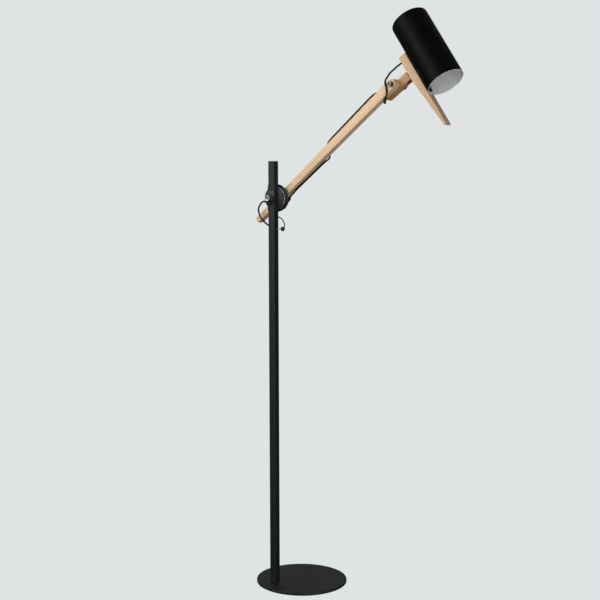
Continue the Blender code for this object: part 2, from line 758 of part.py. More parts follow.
def make_swivel(link):
    """The barrel nut, the swivel bolt that screws into it and the washer against the lever."""
    low = -LINK_HEIGHT / 2 - LINK_DROP + BARREL_RECESS
    barrel_at = (LINK_LENGTH - BARREL_SETBACK, SWIVEL_Y, 0.0)
    barrel = rod("barrel_nut", BARREL_RADIUS, low, low + BARREL_LENGTH, link, steel(), barrel_at, "z", 32)
    swivel_at = (0.0, SWIVEL_Y, -LINK_DROP)
    boolean(barrel, rod("barrel_thread", LINK_BOLT_BORE, 0.0, 2 * LINK_LENGTH, link, None, swivel_at, "x", 20))
    washer_start = LINK_LENGTH + GAP
    washer_end = washer_start + LINK_WASHER
    ring("link_washer", WASHER_RADIUS, LINK_BOLT_BORE, washer_start, washer_end, link, steel(), swivel_at, "x")
    turned("swivel_bolt", swivel_bolt_profile(0.0), link, steel(), swivel_at, "x", 24)


def swivel_bolt_profile(clearance):
    """The countersunk swivel bolt, from its head in the lever's front back to its tip."""
    face = LEVER_FRONT - 0.2 * MM
    head = LINK_BOLT_HEAD + clearance
    shank = LINK_BOLT_RADIUS + clearance
    return [
        (0.0, face + 3 * clearance),
        (head, face + 3 * clearance),
        (head, face - 0.3 * MM),
        (shank, face - LINK_BOLT_HEAD_DEPTH),
        (shank, LINK_LENGTH - 2 * BARREL_SETBACK + 4 * MM),
        (0.0, LINK_LENGTH - 2 * BARREL_SETBACK + 4 * MM),
    ]


# ---------------------------------------------------------------- head


def make_lever(head):
    """The wooden lever: thick where the link meets it, tapering to a handle below the shade."""
    back_at_tip = LEVER_FRONT - LEVER_TIP_THICKNESS
    outline = [
        (LEVER_FRONT, LEVER_TOP),
        (LEVER_BACK, LEVER_TOP),
        (LEVER_BACK, LEVER_TAPER),
        (back_at_tip, LEVER_TIP),
        (LEVER_FRONT, LEVER_TIP),
    ]
    half = LEVER_WIDTH / 2
    bar = extruded("lever", [outline], -half, half, head, wood(), rotation=UPRIGHT)
    boolean(bar, turned("swivel_bolt_cutter", swivel_bolt_profile(GAP), head, axis="x", sides=24))
    bush_outer = LINK_BOLT_BORE + BUSH_WALL
    bush_end = LEVER_BACK + BUSH_LENGTH
    boolean(bar, rod("bush_bore", bush_outer + GAP, 0.0, bush_end + GAP, head, axis="x", sides=24))
    hole = FLEX_RADIUS + 0.5 * MM
    flex_at = (0.0, 0.0, FLEX_HOLE)
    boolean(bar, rod("lever_flex_hole", hole, 0.0, SHADE_AXIS, head, None, flex_at, "x", 16))
    deep = SHADE_AXIS - SHADE_INSIDE - SCREW_REACH - GAP
    for name, height in screw_heights():
        at = (0.0, 0.0, height)
        reach = max(deep, lever_back_at(height) + 1 * MM)
        boolean(bar, rod(name + "_pilot", SCREW_BORE, reach, SHADE_AXIS, head, None, at, "x", 12))
    ring("lever_bush", bush_outer, LINK_BOLT_BORE, LEVER_BACK + GAP, bush_end, head, brass(), axis="x", sides=24)


def lever_back_at(height):
    """The lever's back face at a height on it."""
    if height >= LEVER_TAPER:
        return LEVER_BACK
    share = (LEVER_TAPER - height) / (LEVER_TAPER - LEVER_TIP)
    return LEVER_BACK + share * (LEVER_THICKNESS - LEVER_TIP_THICKNESS)


def screw_heights():
    """The two screws that hold the shade on the lever, with their heights."""
    return [("shade_screw_lower", SHADE_MOUTH + LOWER_SCREW), ("shade_screw_upper", UPPER_SCREW)]


def make_shade(head):
    """The drum shade: a tube that is open below, and the dished plate that closes it above."""
    seam = SHADE_TOP - SHADE_CORNER
    at = (SHADE_AXIS, 0.0, 0.0)
    shade = ring("shade", SHADE_RADIUS, SHADE_INSIDE, SHADE_MOUTH, seam - GAP, head, shade_paint(), at, sides=72)
    corner_at = (SHADE_RADIUS - SHADE_CORNER, seam)
    profile = [(0.0, SHADE_TOP)]
    profile += arc(corner_at, SHADE_CORNER, 90, 0, 4)
    profile += arc(corner_at, SHADE_CORNER - SHADE_WALL, 0, 90, 4)
    profile += [(0.0, SHADE_TOP - SHADE_WALL)]
    turned("shade_top", profile, head, shade_paint(), at, sides=72)
    for name, height in screw_heights():
        hole_at = (0.0, 0.0, height)
        boolean(shade, rod(name + "_hole", SCREW_BORE, 0.0, SHADE_AXIS, head, None, hole_at, "x", 12))
    flex_at = (0.0, 0.0, FLEX_HOLE)
    hole = FLEX_RADIUS + 0.5 * MM
    boolean(shade, rod("shade_flex_hole", hole, 0.0, SHADE_AXIS, head, None, flex_at, "x", 16))


def make_shade_fixings(head):
    """The screws through the shade into the lever, and the pad under the lower one."""
    wall = SHADE_AXIS - SHADE_INSIDE
    low_at = (0.0, 0.0, SHADE_MOUTH + LOWER_SCREW)
    pad = rod("shade_pad", SHADE_PAD_RADIUS, wall - 2 * MM, wall + SHADE_PAD_DEPTH, head, rubber(), low_at, "x", 32)
    inside = rod("pad_back", SHADE_INSIDE - GAP, SHADE_MOUTH, SHADE_TOP, head, None, (SHADE_AXIS, 0.0, 0.0), "z", 72)
    boolean(pad, inside, "INTERSECT")
    boolean(pad, rod("pad_bore", SCREW_BORE, 0.0, SHADE_AXIS, head, None, low_at, "x", 12))
    seats = {
        "shade_screw_lower": wall + SHADE_PAD_DEPTH + GAP,
        "shade_screw_upper": BRACKET_BACK + BRACKET_THICKNESS + GAP,
    }
    for name, height in screw_heights():
        seat = seats[name]
        tip = max(wall - SCREW_REACH, lever_back_at(height) + 1.5 * MM)
        profile = [
            (0.0, seat + SCREW_HEAD_DEPTH),
            (SCREW_HEAD * 0.6, seat + SCREW_HEAD_DEPTH),
            (SCREW_HEAD, seat + SCREW_HEAD_DEPTH * 0.4),
            (SCREW_HEAD, seat),
            (SCREW_RADIUS, seat),
            (SCREW_RADIUS, tip),
            (0.0, tip),
        ]
        turned(name, profile, head, steel(), (0.0, 0.0, height), "x", 16)


def make_holder_bracket(head):
    """The bent strip that carries the lamp holder on the shade's axis."""
    half = BRACKET_WIDTH / 2
    front = BRACKET_BACK + BRACKET_THICKNESS
    end = SHADE_AXIS + BRACKET_ARM_END
    roof = BRACKET_TOP + BRACKET_THICKNESS
    outline = [
        (BRACKET_BACK, BRACKET_FOOT),
        (front, BRACKET_FOOT),
        (front, BRACKET_TOP),
        (end, BRACKET_TOP),
        (end, roof),
        (BRACKET_BACK, roof),
    ]
    bracket = extruded("holder_bracket", [outline], -half, half, head, steel(), rotation=UPRIGHT)
    on_axis = (SHADE_AXIS, 0.0, 0.0)
    boolean(bracket, rod("nipple_hole", NIPPLE_RADIUS + GAP, BRACKET_FOOT, SHADE_TOP, head, None, on_axis, "z", 20))
    screw_at = (0.0, 0.0, UPPER_SCREW)
    boolean(bracket, rod("bracket_screw_hole", SCREW_BORE, 0.0, SHADE_AXIS, head, None, screw_at, "x", 12))
    flex_at = (0.0, 0.0, FLEX_HOLE)
    hole = FLEX_RADIUS + 1.2 * MM
    boolean(bracket, rod("bracket_flex_hole", hole, 0.0, SHADE_AXIS, head, None, flex_at, "x", 16))


def make_holder(head):
    """The threaded nipple and its nut, the lamp holder and its shade ring."""
    on_axis = (SHADE_AXIS, 0.0, 0.0)
    roof = BRACKET_TOP + BRACKET_THICKNESS
    nipple_top = roof + NIPPLE_ABOVE
    nipple_low = HOLDER_TOP - NIPPLE_BELOW
    bore = FLEX_BORE
    ring("nipple", NIPPLE_RADIUS, bore, nipple_low, nipple_top, head, brass(), on_axis, sides=20)
    nut_low = roof + GAP
    nut = rod("nipple_nut", NUT_RADIUS, nut_low, nut_low + NUT_HEIGHT, head, brass(), on_axis, sides=6)
    nut_bore = NIPPLE_RADIUS + GAP
    boolean(nut, rod("nut_bore", nut_bore, 0.0, SHADE_TOP, head, None, on_axis, sides=24))
    inner = HOLDER_RADIUS - HOLDER_WALL
    seat = HOLDER_TOP - HOLDER_ROOF
    socket = NIPPLE_RADIUS + GAP
    profile = [
        (socket, HOLDER_TOP),
        (HOLDER_RADIUS - 3 * MM, HOLDER_TOP),
        (HOLDER_RADIUS, HOLDER_TOP - 3 * MM),
        (HOLDER_RADIUS, HOLDER_BOTTOM),
        (inner, HOLDER_BOTTOM),
        (inner, seat),
        (socket, seat),
    ]
    turned("lamp_holder", profile, head, holder_plastic(), on_axis, sides=32, ring=True)
    low = HOLDER_BOTTOM + 1 * MM
    inner_ring = HOLDER_RADIUS + GAP
    ring("holder_ring", HOLDER_RING, inner_ring, low, low + HOLDER_RING_LENGTH, head, holder_plastic(), on_axis)


def make_bulb(head):
    """The lamp: its screw cap and its frosted globe."""
    on_axis = (SHADE_AXIS, 0.0, 0.0)
    tip = 4 * MM
    cap = [
        (0.0, CAP_TOP),
        (CAP_RADIUS * 0.35, CAP_TOP),
        (CAP_RADIUS * 0.7, CAP_TOP - tip),
        (CAP_RADIUS, CAP_TOP - tip - 1 * MM),
        (CAP_RADIUS, CAP_BOTTOM),
        (0.0, CAP_BOTTOM),
    ]
    turned("bulb_cap", cap, head, steel(), on_axis, sides=24)
    neck = CAP_BOTTOM - GAP
    centre = neck - BULB_LENGTH + BULB_RADIUS
    globe = [(0.0, neck), (BULB_NECK, neck), (BULB_NECK + 2 * MM, HOLDER_BOTTOM - 2 * MM)]
    globe += arc((0.0, centre), BULB_RADIUS, 42, -78, 7)
    globe += [(0.0, centre - BULB_RADIUS)]
    turned("led_bulb", globe, head, bulb_glass(), on_axis, sides=24)


# ---------------------------------------------------------------- flex, in millimetres in each frame


def make_flex(stand, clamp, arm, link, head):
    """The lamp's flex, from the holder through the lever, along the arm and into the post."""
    inner = [
        (49.0, 0.0, 49.5),
        (64.0, 0.0, 49.5),
        (78.0, 0.0, 50.0),
        (86.5, 0.0, 55.0),
        (89.6, 1.0, 68.0),
        (88.5, 7.0, 86.0),
        (88.5, 13.0, 104.0),
        (94.0, 15.0, 118.0),
        (104.0, 12.0, 127.0),
        (116.0, 5.0, 130.5),
        (124.6, 0.8, 127.5),
        (126.8, 0.0, 123.2),
    ]
    flexible("flex_inner", inner, FLEX_RADIUS, head, flex_sheath())
    outer = [
        (48.2, 74.6, 43.7),
        (41.8, 73.8, 43.9),
        (35.0, 70.6, 43.6),
        (27.0, 65.9, 42.0),
    ]
    flexible("flex_head", outer, FLEX_RADIUS, link, flex_sheath())
    across = [
        (539.2, 64.9, 40.3),
        (531.9, 58.4, 38.1),
        (526.3, 52.0, 35.6),
        (520.7, 46.0, 33.2),
        (513.9, 40.2, 28.9),
        (509.2, 35.2, 24.9),
        (504.6, 30.0, 20.4),
        (500.6, 25.9, 14.8),
        (498.2, 25.3, 9.3),
    ]
    flexible("flex_elbow", across, FLEX_RADIUS, arm, flex_sheath())
    along = [
        (497.6, 25.3, 8.0),
        (494.8, 25.3, 1.6),
        (490.4, 25.2, -6.6),
        (485.0, 25.0, -14.4),
        (478.2, 26.4, -19.4),
        (469.6, 32.0, -20.6),
        (461.0, 42.0, -19.8),
        (453.6, 50.5, -18.8),
        (450.6, 56.8, -16.8),
        (448.4, 58.8, -9.5),
        (447.6, 59.0, 0.0),
        (448.6, 58.8, 9.4),
        (450.8, 57.0, 16.6),
        (452.6, 50.6, 19.0),
        (450.0, 42.4, 19.2),
        (440.0, 34.6, 18.0),
        (420.0, 32.4, 17.2),
        (370.0, 32.0, 16.6),
        (310.0, 32.0, 15.8),
        (262.0, 32.2, 15.2),
        (241.0, 36.6, 15.2),
        (229.6, 46.0, 16.0),
        (221.4, 55.4, 14.6),
        (214.6, 59.4, 4.0),
        (208.6, 58.8, -7.0),
        (203.0, 57.2, -13.6),
        (196.0, 51.4, -15.6),
        (184.0, 49.6, -15.0),
        (140.0, 49.0, -14.2),
        (94.0, 48.6, -13.6),
        (70.0, 47.6, -13.5),
        (56.8, 46.5, -13.9),
    ]
    flexible("flex_arm", along, FLEX_RADIUS, arm, flex_sheath(), 6.5 * FLEX_RADIUS)
    around = [
        (51.6, 46.2, 24.0),
        (46.9, 44.4, 18.3),
        (43.6, 40.0, 12.6),
        (41.8, 33.4, 6.9),
        (40.2, 27.4, 0.0),
        (37.8, 24.6, -9.0),
        (32.4, 24.2, -19.4),
        (22.1, 24.2, -30.8),
        (0.0, 24.2, -36.8),
        (-22.0, 24.2, -29.6),
        (-37.0, 23.9, -18.2),
        (-46.0, 23.2, -12.8),
    ]
    flexible("flex_hub", around, FLEX_RADIUS, clamp, flex_sheath())
    top = CLAMP_HEIGHT / MM
    entry = -POST_HALF / MM
    loop = [
        (-47.2, 23.0, top - 12.3),
        (-53.4, 21.8, top - 10.9),
        (-59.4, 20.0, top - 14.1),
        (-64.6, 16.6, top - 22.4),
        (-67.1, 13.0, top - 33.9),
        (-62.9, 10.0, top - 46.4),
        (-54.9, 7.0, top - 57.8),
        (-43.7, 4.4, top - 67.0),
        (-29.9, 1.6, top - 76.4),
        (-20.4, 0.2, GROMMET_HEIGHT / MM + 1.6),
        (entry - 2.2, 0.0, GROMMET_HEIGHT / MM + 0.1),
    ]
    flexible("flex_post", loop, FLEX_RADIUS, stand, flex_sheath())
    foot = GLAND_HEIGHT / MM
    riser = [
        (entry - 1.2, 0.0, GROMMET_HEIGHT / MM),
        (entry + 3.0, 0.0, GROMMET_HEIGHT / MM),
        (entry + 5.0, 0.0, GROMMET_HEIGHT / MM - 1.0),
        (entry + 6.7, 0.0, GROMMET_HEIGHT / MM - 3.8),
        (entry + 7.2, 0.0, GROMMET_HEIGHT / MM - 9.0),
        (entry + 7.2, 0.0, 800.0),
        (-2.0, 0.0, 400.0),
        (0.0, -1.0, foot + 24.0),
        (0.0, 1.0, foot + 8.0),
        (0.0, 7.4, foot + 0.1),
        (0.0, POST_HALF / MM + 1.6, foot),
    ]
    flexible("flex_riser", riser, FLEX_RADIUS, stand, flex_sheath(), 60 * MM)


def main():
    clear_scene()
    new_collection("floor_lamp")
    new_collection("cutters").hide_render = True
    ground = frame_empty("lamp_frame", None)
    stand = frame_empty("stand_frame", ground, POST_OFFSET)
    clamp = frame_empty("clamp_frame", stand, (0.0, 0.0, CLAMP_HEIGHT))
    arm = frame_empty("arm_frame", clamp, rotation=(0.0, -ARM_ELEVATION, 0.0))
    bend = (0.0, ARM_ELEVATION - LINK_ELEVATION, 0.0)
    link = frame_empty("link_frame", arm, (ARM_REACH, 0.0, 0.0), bend)
    head = frame_empty("head_frame", link, (0.0, SWIVEL_Y, -LINK_DROP), (SWIVEL, 0.0, 0.0))
    make_base(stand, ground)
    make_foot_insert(stand)
    make_post(stand)
    make_post_cap(stand)
    make_stop_pin(stand)
    make_tether(stand)
    make_clamp_body(clamp)
    make_hub(clamp)
    make_clamp_knob(clamp)
    make_arm(arm)
    make_pivot_nut(arm, clamp)
    make_elbow_bolt(arm)
    make_link(link)
    make_swivel(link)
    make_lever(head)
    make_shade(head)
    make_shade_fixings(head)
    make_holder_bracket(head)
    make_holder(head)
    make_bulb(head)
    make_flex(stand, clamp, arm, link, head)


main()
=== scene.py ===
"""Looks of the adjustable arm floor lamp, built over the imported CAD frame.

Each sub-assembly is a dataclass whose fields are its sizes in millimetres, in the frame of the CAD body
that it rides on. Each finish is a frozen dataclass that makes one procedural material.
"""

import logging
import math
from collections.abc import Iterable, Sequence
from dataclasses import dataclass, field
from enum import Enum

import bmesh
import bpy
from mathutils import Matrix, Vector


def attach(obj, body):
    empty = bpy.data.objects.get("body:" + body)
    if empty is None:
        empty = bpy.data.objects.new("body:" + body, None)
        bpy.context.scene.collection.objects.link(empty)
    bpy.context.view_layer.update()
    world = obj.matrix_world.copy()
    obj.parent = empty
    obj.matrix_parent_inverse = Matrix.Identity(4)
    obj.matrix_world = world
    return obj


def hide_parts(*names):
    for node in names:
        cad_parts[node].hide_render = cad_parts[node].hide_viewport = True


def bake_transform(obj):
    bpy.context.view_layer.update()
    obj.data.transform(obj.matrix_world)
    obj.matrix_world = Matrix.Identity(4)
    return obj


LOG = logging.getLogger("floor_lamp")
MM = 0.001
Route = Sequence[tuple[float, float, float]]
Profile = Sequence[tuple[float, ...]]

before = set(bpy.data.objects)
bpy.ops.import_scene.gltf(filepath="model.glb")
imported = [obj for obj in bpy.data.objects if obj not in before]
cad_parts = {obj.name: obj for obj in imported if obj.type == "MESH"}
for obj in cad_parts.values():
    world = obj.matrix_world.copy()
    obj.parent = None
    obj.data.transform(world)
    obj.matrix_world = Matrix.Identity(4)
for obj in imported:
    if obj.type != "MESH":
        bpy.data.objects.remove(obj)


# ---------------------------------------------------------------- frames


class Axis(Enum):
    """The direction that a turned shape's own Z is laid along."""

    X = Matrix.Rotation(math.radians(90), 4, "Y")
    LEFT = Matrix.Rotation(math.radians(-90), 4, "Y")
    Y = Matrix.Rotation(math.radians(-90), 4, "X")


def shifted(base: Matrix, x: float = 0.0, y: float = 0.0, z: float = 0.0) -> Matrix:
    """A frame moved along its own axes, in millimetres."""
    return base @ Matrix.Translation((x * MM, y * MM, z * MM))


def tilted(base: Matrix, degrees: float, axis: str) -> Matrix:
    """A frame turned about one of its own axes."""
    return base @ Matrix.Rotation(math.radians(degrees), 4, axis)


GROUND = Matrix.Identity(4)
STAND = shifted(GROUND, -51.3, -70.4)
CLAMP = shifted(STAND, z=1195.8)
ARM = tilted(CLAMP, -39.32, "Y")
LINK = tilted(shifted(ARM, 511.3), 39.32 - 36.65, "Y")
SWIVEL = shifted(LINK, y=69.0, z=-5.5)
HEAD = tilted(SWIVEL, -6.5, "X")


# ---------------------------------------------------------------- colour and nodes


def linear(hex_colour: str) -> tuple[float, float, float, float]:
    """Turns an sRGB colour into the linear one that the shaders take.

    Args:
        hex_colour: Six hex digits, such as 2d2d2d.

    Returns:
        Linear red, green and blue, and an alpha of 1.
    """
    values = [int(hex_colour[i : i + 2], 16) / 255 for i in (0, 2, 4)]
    red, green, blue = (v / 12.92 if v <= 0.04045 else ((v + 0.055) / 1.055) ** 2.4 for v in values)
    return (red, green, blue, 1.0)


def add_node(
    tree: bpy.types.NodeTree,
    kind: str,
    inputs: dict[str, object] | None = None,
    settings: dict[str, object] | None = None,
) -> bpy.types.Node:
    """Adds a node to a tree.

    Args:
        tree: The node tree.
        kind: The node's type, such as ShaderNodeTexNoise.
        inputs: Values or output sockets for its inputs, by name.
        settings: The node's own properties.

    Returns:
        The new node.
    """
    node = tree.nodes.new(kind)
    for key, value in (settings or {}).items():
        setattr(node, key, value)
    for key, value in (inputs or {}).items():
        if isinstance(value, bpy.types.NodeSocket):
            tree.links.new(value, node.inputs[key])
        else:
            node.inputs[key].default_value = value
    return node


def ramp(
    tree: bpy.types.NodeTree, fac: bpy.types.NodeSocket, stops: Sequence[tuple[float, str]]
) -> bpy.types.Node:
    """Adds a colour ramp.

    Args:
        tree: The node tree.
        fac: The value that picks the colour.
        stops: A position and an sRGB hex colour for each stop.

    Returns:
        The ramp's node.
    """
    node = add_node(tree, "ShaderNodeValToRGB", {"Fac": fac})
    while len(node.color_ramp.elements) < len(stops):
        node.color_ramp.elements.new(0.5)
    for element, (position, colour) in zip(node.color_ramp.elements, stops):
        element.position = position
        element.color = linear(colour)
    return node


@dataclass(frozen=True)
class Finish:
    """A procedural finish: a Principled surface whose roughness drifts in patches, with a fine bump.

    Attributes:
        name: The material's name.
        colour: sRGB base colour.
        roughness: Mean roughness.
        metallic: 1 for bare metal.
        grain_mm: Size of the surface texture's cells.
        bump: Strength of the texture's bump, from 0 to 1.
        mottle: How far the roughness drifts either side of its mean.
        drift_mm: Size of the patches in which the roughness drifts.
        specular: Strength of a paint's or plastic's own reflection.
    """

    name: str
    colour: str
    roughness: float
    metallic: float = 0.0
    grain_mm: float = 0.8
    bump: float = 0.1
    mottle: float = 0.05
    drift_mm: float = 30.0
    specular: float = 0.5

    def material(self) -> bpy.types.Material:
        """Makes the material the first time that it is asked for.

        Returns:
            The material.
        """
        found = bpy.data.materials.get("look_" + self.name)
        if found:
            return found
        made = bpy.data.materials.new("look_" + self.name)
        made.use_nodes = True
        tree = made.node_tree
        shader = tree.nodes["Principled BSDF"]
        shader.inputs["Base Color"].default_value = linear(self.colour)
        shader.inputs["Roughness"].default_value = self.roughness
        shader.inputs["Metallic"].default_value = self.metallic
        shader.inputs["Specular IOR Level"].default_value = self.specular
        point = add_node(tree, "ShaderNodeTexCoord").outputs["Object"]
        self.dress(tree, shader, point)
        return made

    def dress(self, tree: bpy.types.NodeTree, shader: bpy.types.Node, point: bpy.types.NodeSocket) -> None:
        """Adds the texture to a new material's tree.

        Args:
            tree: The material's node tree.
            shader: Its Principled shader.
            point: The position on the piece, in metres.
        """
        # Noise scale is cells per metre, so a cell of grain_mm takes 1000 / grain_mm.
        cells = {"Vector": point, "Scale": 1000 / self.grain_mm, "Detail": 3.0}
        fine = add_node(tree, "ShaderNodeTexNoise", cells)
        self.add_bump(tree, shader, fine.outputs["Fac"])
        patches = {"Vector": point, "Scale": 1000 / self.drift_mm, "Detail": 4.0}
        broad = add_node(tree, "ShaderNodeTexNoise", patches)
        spread = {"From Min": 0.3, "From Max": 0.7}
        spread.update({"To Min": self.roughness - self.mottle, "To Max": self.roughness + self.mottle})
        spread["Value"] = broad.outputs["Fac"]
        drift = add_node(tree, "ShaderNodeMapRange", spread)
        tree.links.new(drift.outputs["Result"], shader.inputs["Roughness"])

    def add_bump(
        self, tree: bpy.types.NodeTree, shader: bpy.types.Node, height: bpy.types.NodeSocket
    ) -> None:
        """Joins a bump of this finish's strength to the shader's normal.

        Args:
            tree: The material's node tree.
            shader: Its Principled shader.
            height: The texture that the bump follows.
        """
        # The bump's distance is the texture's relief in metres: a tenth of a cell.
        values = {"Height": height, "Strength": self.bump, "Distance": self.grain_mm * MM * 0.1}
        bump = add_node(tree, "ShaderNodeBump", values)
        tree.links.new(bump.outputs["Normal"], shader.inputs["Normal"])


@dataclass(frozen=True)
class Beech(Finish):
    """Oiled wood: a grain of three tones along one axis of the piece, with short dark flecks.

    Attributes:
        light: The palest tone of the grain.
        dark: The darkest tone of the grain.
        fleck: The colour of the rays' short flecks.
        place: The frame of the piece, which the grain is turned to.
        along: The axis of that frame which the grain runs along: 0, 1 or 2.
    """

    light: str = "dcb286"
    dark: str = "b98554"
    fleck: str = "8f6238"
    place: Matrix = field(default_factory=Matrix)
    along: int = 0

    def stretched(
        self, tree: bpy.types.NodeTree, point: bpy.types.NodeSocket, long_mm: float, across_mm: float
    ) -> bpy.types.NodeSocket:
        """Scales a point to the cells of a pattern that is drawn out along the grain.

        Args:
            tree: The material's node tree.
            point: The position in the piece's frame, in metres.
            long_mm: A cell's length along the grain.
            across_mm: A cell's width across it.

        Returns:
            The position in cells.
        """
        scale = [1000 / across_mm] * 3
        scale[self.along] = 1000 / long_mm
        return add_node(tree, "ShaderNodeMapping", {"Vector": point, "Scale": scale}).outputs["Vector"]

    def dress(self, tree: bpy.types.NodeTree, shader: bpy.types.Node, point: bpy.types.NodeSocket) -> None:
        """Adds the grain and its flecks to a new material's tree.

        Args:
            tree: The material's node tree.
            shader: Its Principled shader.
            point: The position on the piece, in metres.
        """
        inverse = self.place.inverted()
        turn = {"Vector": point, "Rotation": inverse.to_euler(), "Location": inverse.to_translation()}
        local = add_node(tree, "ShaderNodeMapping", turn).outputs["Vector"]
        # Growth bands about 9 mm apart that wander over 260 mm, with 1.4 mm fibre lines inside them.
        bands = add_node(
            tree,
            "ShaderNodeTexNoise",
            {"Vector": self.stretched(tree, local, 260, 9), "Scale": 1.0, "Detail": 3.0, "Distortion": 0.4},
        )
        fibres = add_node(
            tree,
            "ShaderNodeTexNoise",
            {"Vector": self.stretched(tree, local, 45, 1.4), "Scale": 1.0, "Detail": 4.0},
        )
        grain = add_node(
            tree,
            "ShaderNodeMix",
            {"Factor": 0.25, "A": bands.outputs["Fac"], "B": fibres.outputs["Fac"]},
            {"data_type": "FLOAT"},
        ).outputs["Result"]
        tone = ramp(tree, grain, [(0.3, self.dark), (0.5, self.colour), (0.7, self.light)])
        # Ray flecks: short dashes about 3 mm long and 0.5 mm wide.
        dashes = add_node(
            tree,
            "ShaderNodeTexNoise",
            {"Vector": self.stretched(tree, local, 3.2, 0.5), "Scale": 1.0, "Detail": 1.0},
        )
        seen = {"Value": dashes.outputs["Fac"], "From Min": 0.66, "From Max": 0.76, "To Max": 0.2}
        amount = add_node(tree, "ShaderNodeMapRange", seen).outputs["Result"]
        colour = add_node(tree, "ShaderNodeMix", {"Factor": amount}, {"data_type": "RGBA"})
        tree.links.new(tone.outputs["Color"], colour.inputs[6])
        colour.inputs[7].default_value = linear(self.fleck)
        tree.links.new(colour.outputs[2], shader.inputs["Base Color"])
        rough = {"Value": grain, "From Min": 0.35, "From Max": 0.65}
        rough.update({"To Min": self.roughness + self.mottle, "To Max": self.roughness - self.mottle})
        gloss = add_node(tree, "ShaderNodeMapRange", rough)
        tree.links.new(gloss.outputs["Result"], shader.inputs["Roughness"])
        self.add_bump(tree, shader, fibres.outputs["Fac"])


@dataclass(frozen=True)
class Turned(Finish):
    """Bright turned metal with fine rings about an axis.

    Attributes:
        place: The frame whose Z is the turning axis.
        pitch_mm: Distance between the tool's rings.
    """

    place: Matrix = field(default_factory=Matrix)
    pitch_mm: float = 0.5

    def dress(self, tree: bpy.types.NodeTree, shader: bpy.types.Node, point: bpy.types.NodeSocket) -> None:
        """Adds the tool's rings to a new material's tree.

        Args:
            tree: The material's node tree.
            shader: Its Principled shader.
            point: The position on the piece, in metres.
        """
        super().dress(tree, shader, point)
        inverse = self.place.inverted()
        turn = {"Vector": point, "Rotation": inverse.to_euler(), "Location": inverse.to_translation()}
        local = add_node(tree, "ShaderNodeMapping", turn).outputs["Vector"]
        # A wave of scale s has a period of 2 * pi / (20 * s) metres.
        scale = 2 * math.pi / (20 * self.pitch_mm * MM)
        rings = add_node(
            tree,
            "ShaderNodeTexWave",
            {"Vector": local, "Scale": scale, "Distortion": 0.6, "Detail": 1.0},
            {"wave_type": "RINGS", "rings_direction": "Z"},
        )
        self.add_bump(tree, shader, rings.outputs["Fac"])


@dataclass(frozen=True)
class Woven(Finish):
    """A braided cord: two crossing sets of fine diagonal ribs."""

    pitch_mm: float = 0.9

    def dress(self, tree: bpy.types.NodeTree, shader: bpy.types.Node, point: bpy.types.NodeSocket) -> None:
        """Adds the braid's ribs to a new material's tree.

        Args:
            tree: The material's node tree.
            shader: Its Principled shader.
            point: The position on the piece, in metres.
        """
        super().dress(tree, shader, point)
        scale = 2 * math.pi / (20 * self.pitch_mm * MM)
        ribs = add_node(
            tree,
            "ShaderNodeTexWave",
            {"Vector": point, "Scale": scale, "Distortion": 1.5, "Detail": 2.0},
            {"bands_direction": "DIAGONAL"},
        )
        self.add_bump(tree, shader, ribs.outputs["Fac"])


@dataclass(frozen=True)
class Opal(Finish):
    """A frosted diffuser that lets some light through its skin."""

    def dress(self, tree: bpy.types.NodeTree, shader: bpy.types.Node, point: bpy.types.NodeSocket) -> None:
        """Adds the skin's scatter to a new material's tree."""
        super().dress(tree, shader, point)
        shader.inputs["Subsurface Weight"].default_value = 0.4
        shader.inputs["Subsurface Radius"].default_value = (0.004, 0.004, 0.004)


POWDER_COAT = Finish("black_paint", "141617", 0.48, grain_mm=0.7, bump=0.25, mottle=0.05, specular=0.35)
SHADE_PAINT = Finish("shade_paint", "030304", 0.5, grain_mm=0.5, bump=0.12, mottle=0.04, specular=0.07)
SHADE_LINING = Finish("shade_lining", "eff1f3", 0.5, grain_mm=0.5, bump=0.1)
CLAMP_BLACK = Finish("clamp_black", "1e2023", 0.5, grain_mm=0.6, bump=0.25, specular=0.4)
KNOB_PLASTIC = Finish("knob_plastic", "121213", 0.5, grain_mm=0.4, bump=0.3)
HOLDER_PLASTIC = Finish("holder_plastic", "161616", 0.35, grain_mm=0.5, bump=0.08)
RUBBER = Finish("rubber", "141516", 0.75, grain_mm=0.5, bump=0.4)
ZINC = Finish("zinc_steel", "8e9092", 0.34, 1.0, grain_mm=0.3, bump=0.12, mottle=0.1, drift_mm=6)
# Dark steel with a warm tan tint. The tint is a painted reflection of the nearby beech.
DARK_ZINC_PAINTED_REFLECTION = Finish("dark_zinc_steel_painted_reflection", "6f6a60", 0.4, 1.0, grain_mm=0.3, bump=0.12, mottle=0.1, drift_mm=6)
BRASS = Finish("brass", "b59a56", 0.3, 1.0, grain_mm=0.3, bump=0.1, mottle=0.08, drift_mm=8)
CHROME = Finish("chrome", "a0a2a4", 0.26, 1.0, grain_mm=2.0, bump=0.03, mottle=0.03, drift_mm=5)
SHEATH = Finish(
    "flex_sheath", "0a0a0b", 0.55, grain_mm=0.6, bump=0.15, mottle=0.06, drift_mm=12, specular=0.25
)
TETHER_BRAID = Woven("tether_cord", "0c0c0d", 0.68, grain_mm=0.35, bump=0.4, specular=0.25)
OPAL = Opal("bulb_glass", "f0efe9", 0.35, grain_mm=0.6, bump=0.04)
HUB_METAL = Turned(
    "polished_aluminium", "e2e4e6", 0.34, 1.0, grain_mm=0.5, bump=0.08, place=CLAMP @ Axis.Y.value
)
ARM_WOOD = Beech(
    "arm_beech", "e6c49c", 0.5, grain_mm=1.0, bump=0.02, mottle=0.05,
    light="ecccaa", dark="dbb68c", fleck="b98c5c", place=ARM,
)
# The link is the arm's beech made darker. This is painted shade, standing in for the shadow that the lever
# casts on the link.
LINK_WOOD_PAINTED_SHADE = Beech(
    "link_beech_painted_shade", "b58857", 0.5, grain_mm=1.0, bump=0.02, mottle=0.05,
    light="c89c6c", dark="ae8150", fleck="9a6c3f", place=LINK,
)
LEVER_WOOD = Beech(
    "lever_beech", "cfa982", 0.5, grain_mm=1.0, bump=0.02, mottle=0.05,
    light="d9b691", dark="c0966a", fleck="a07850", place=HEAD, along=2,
)

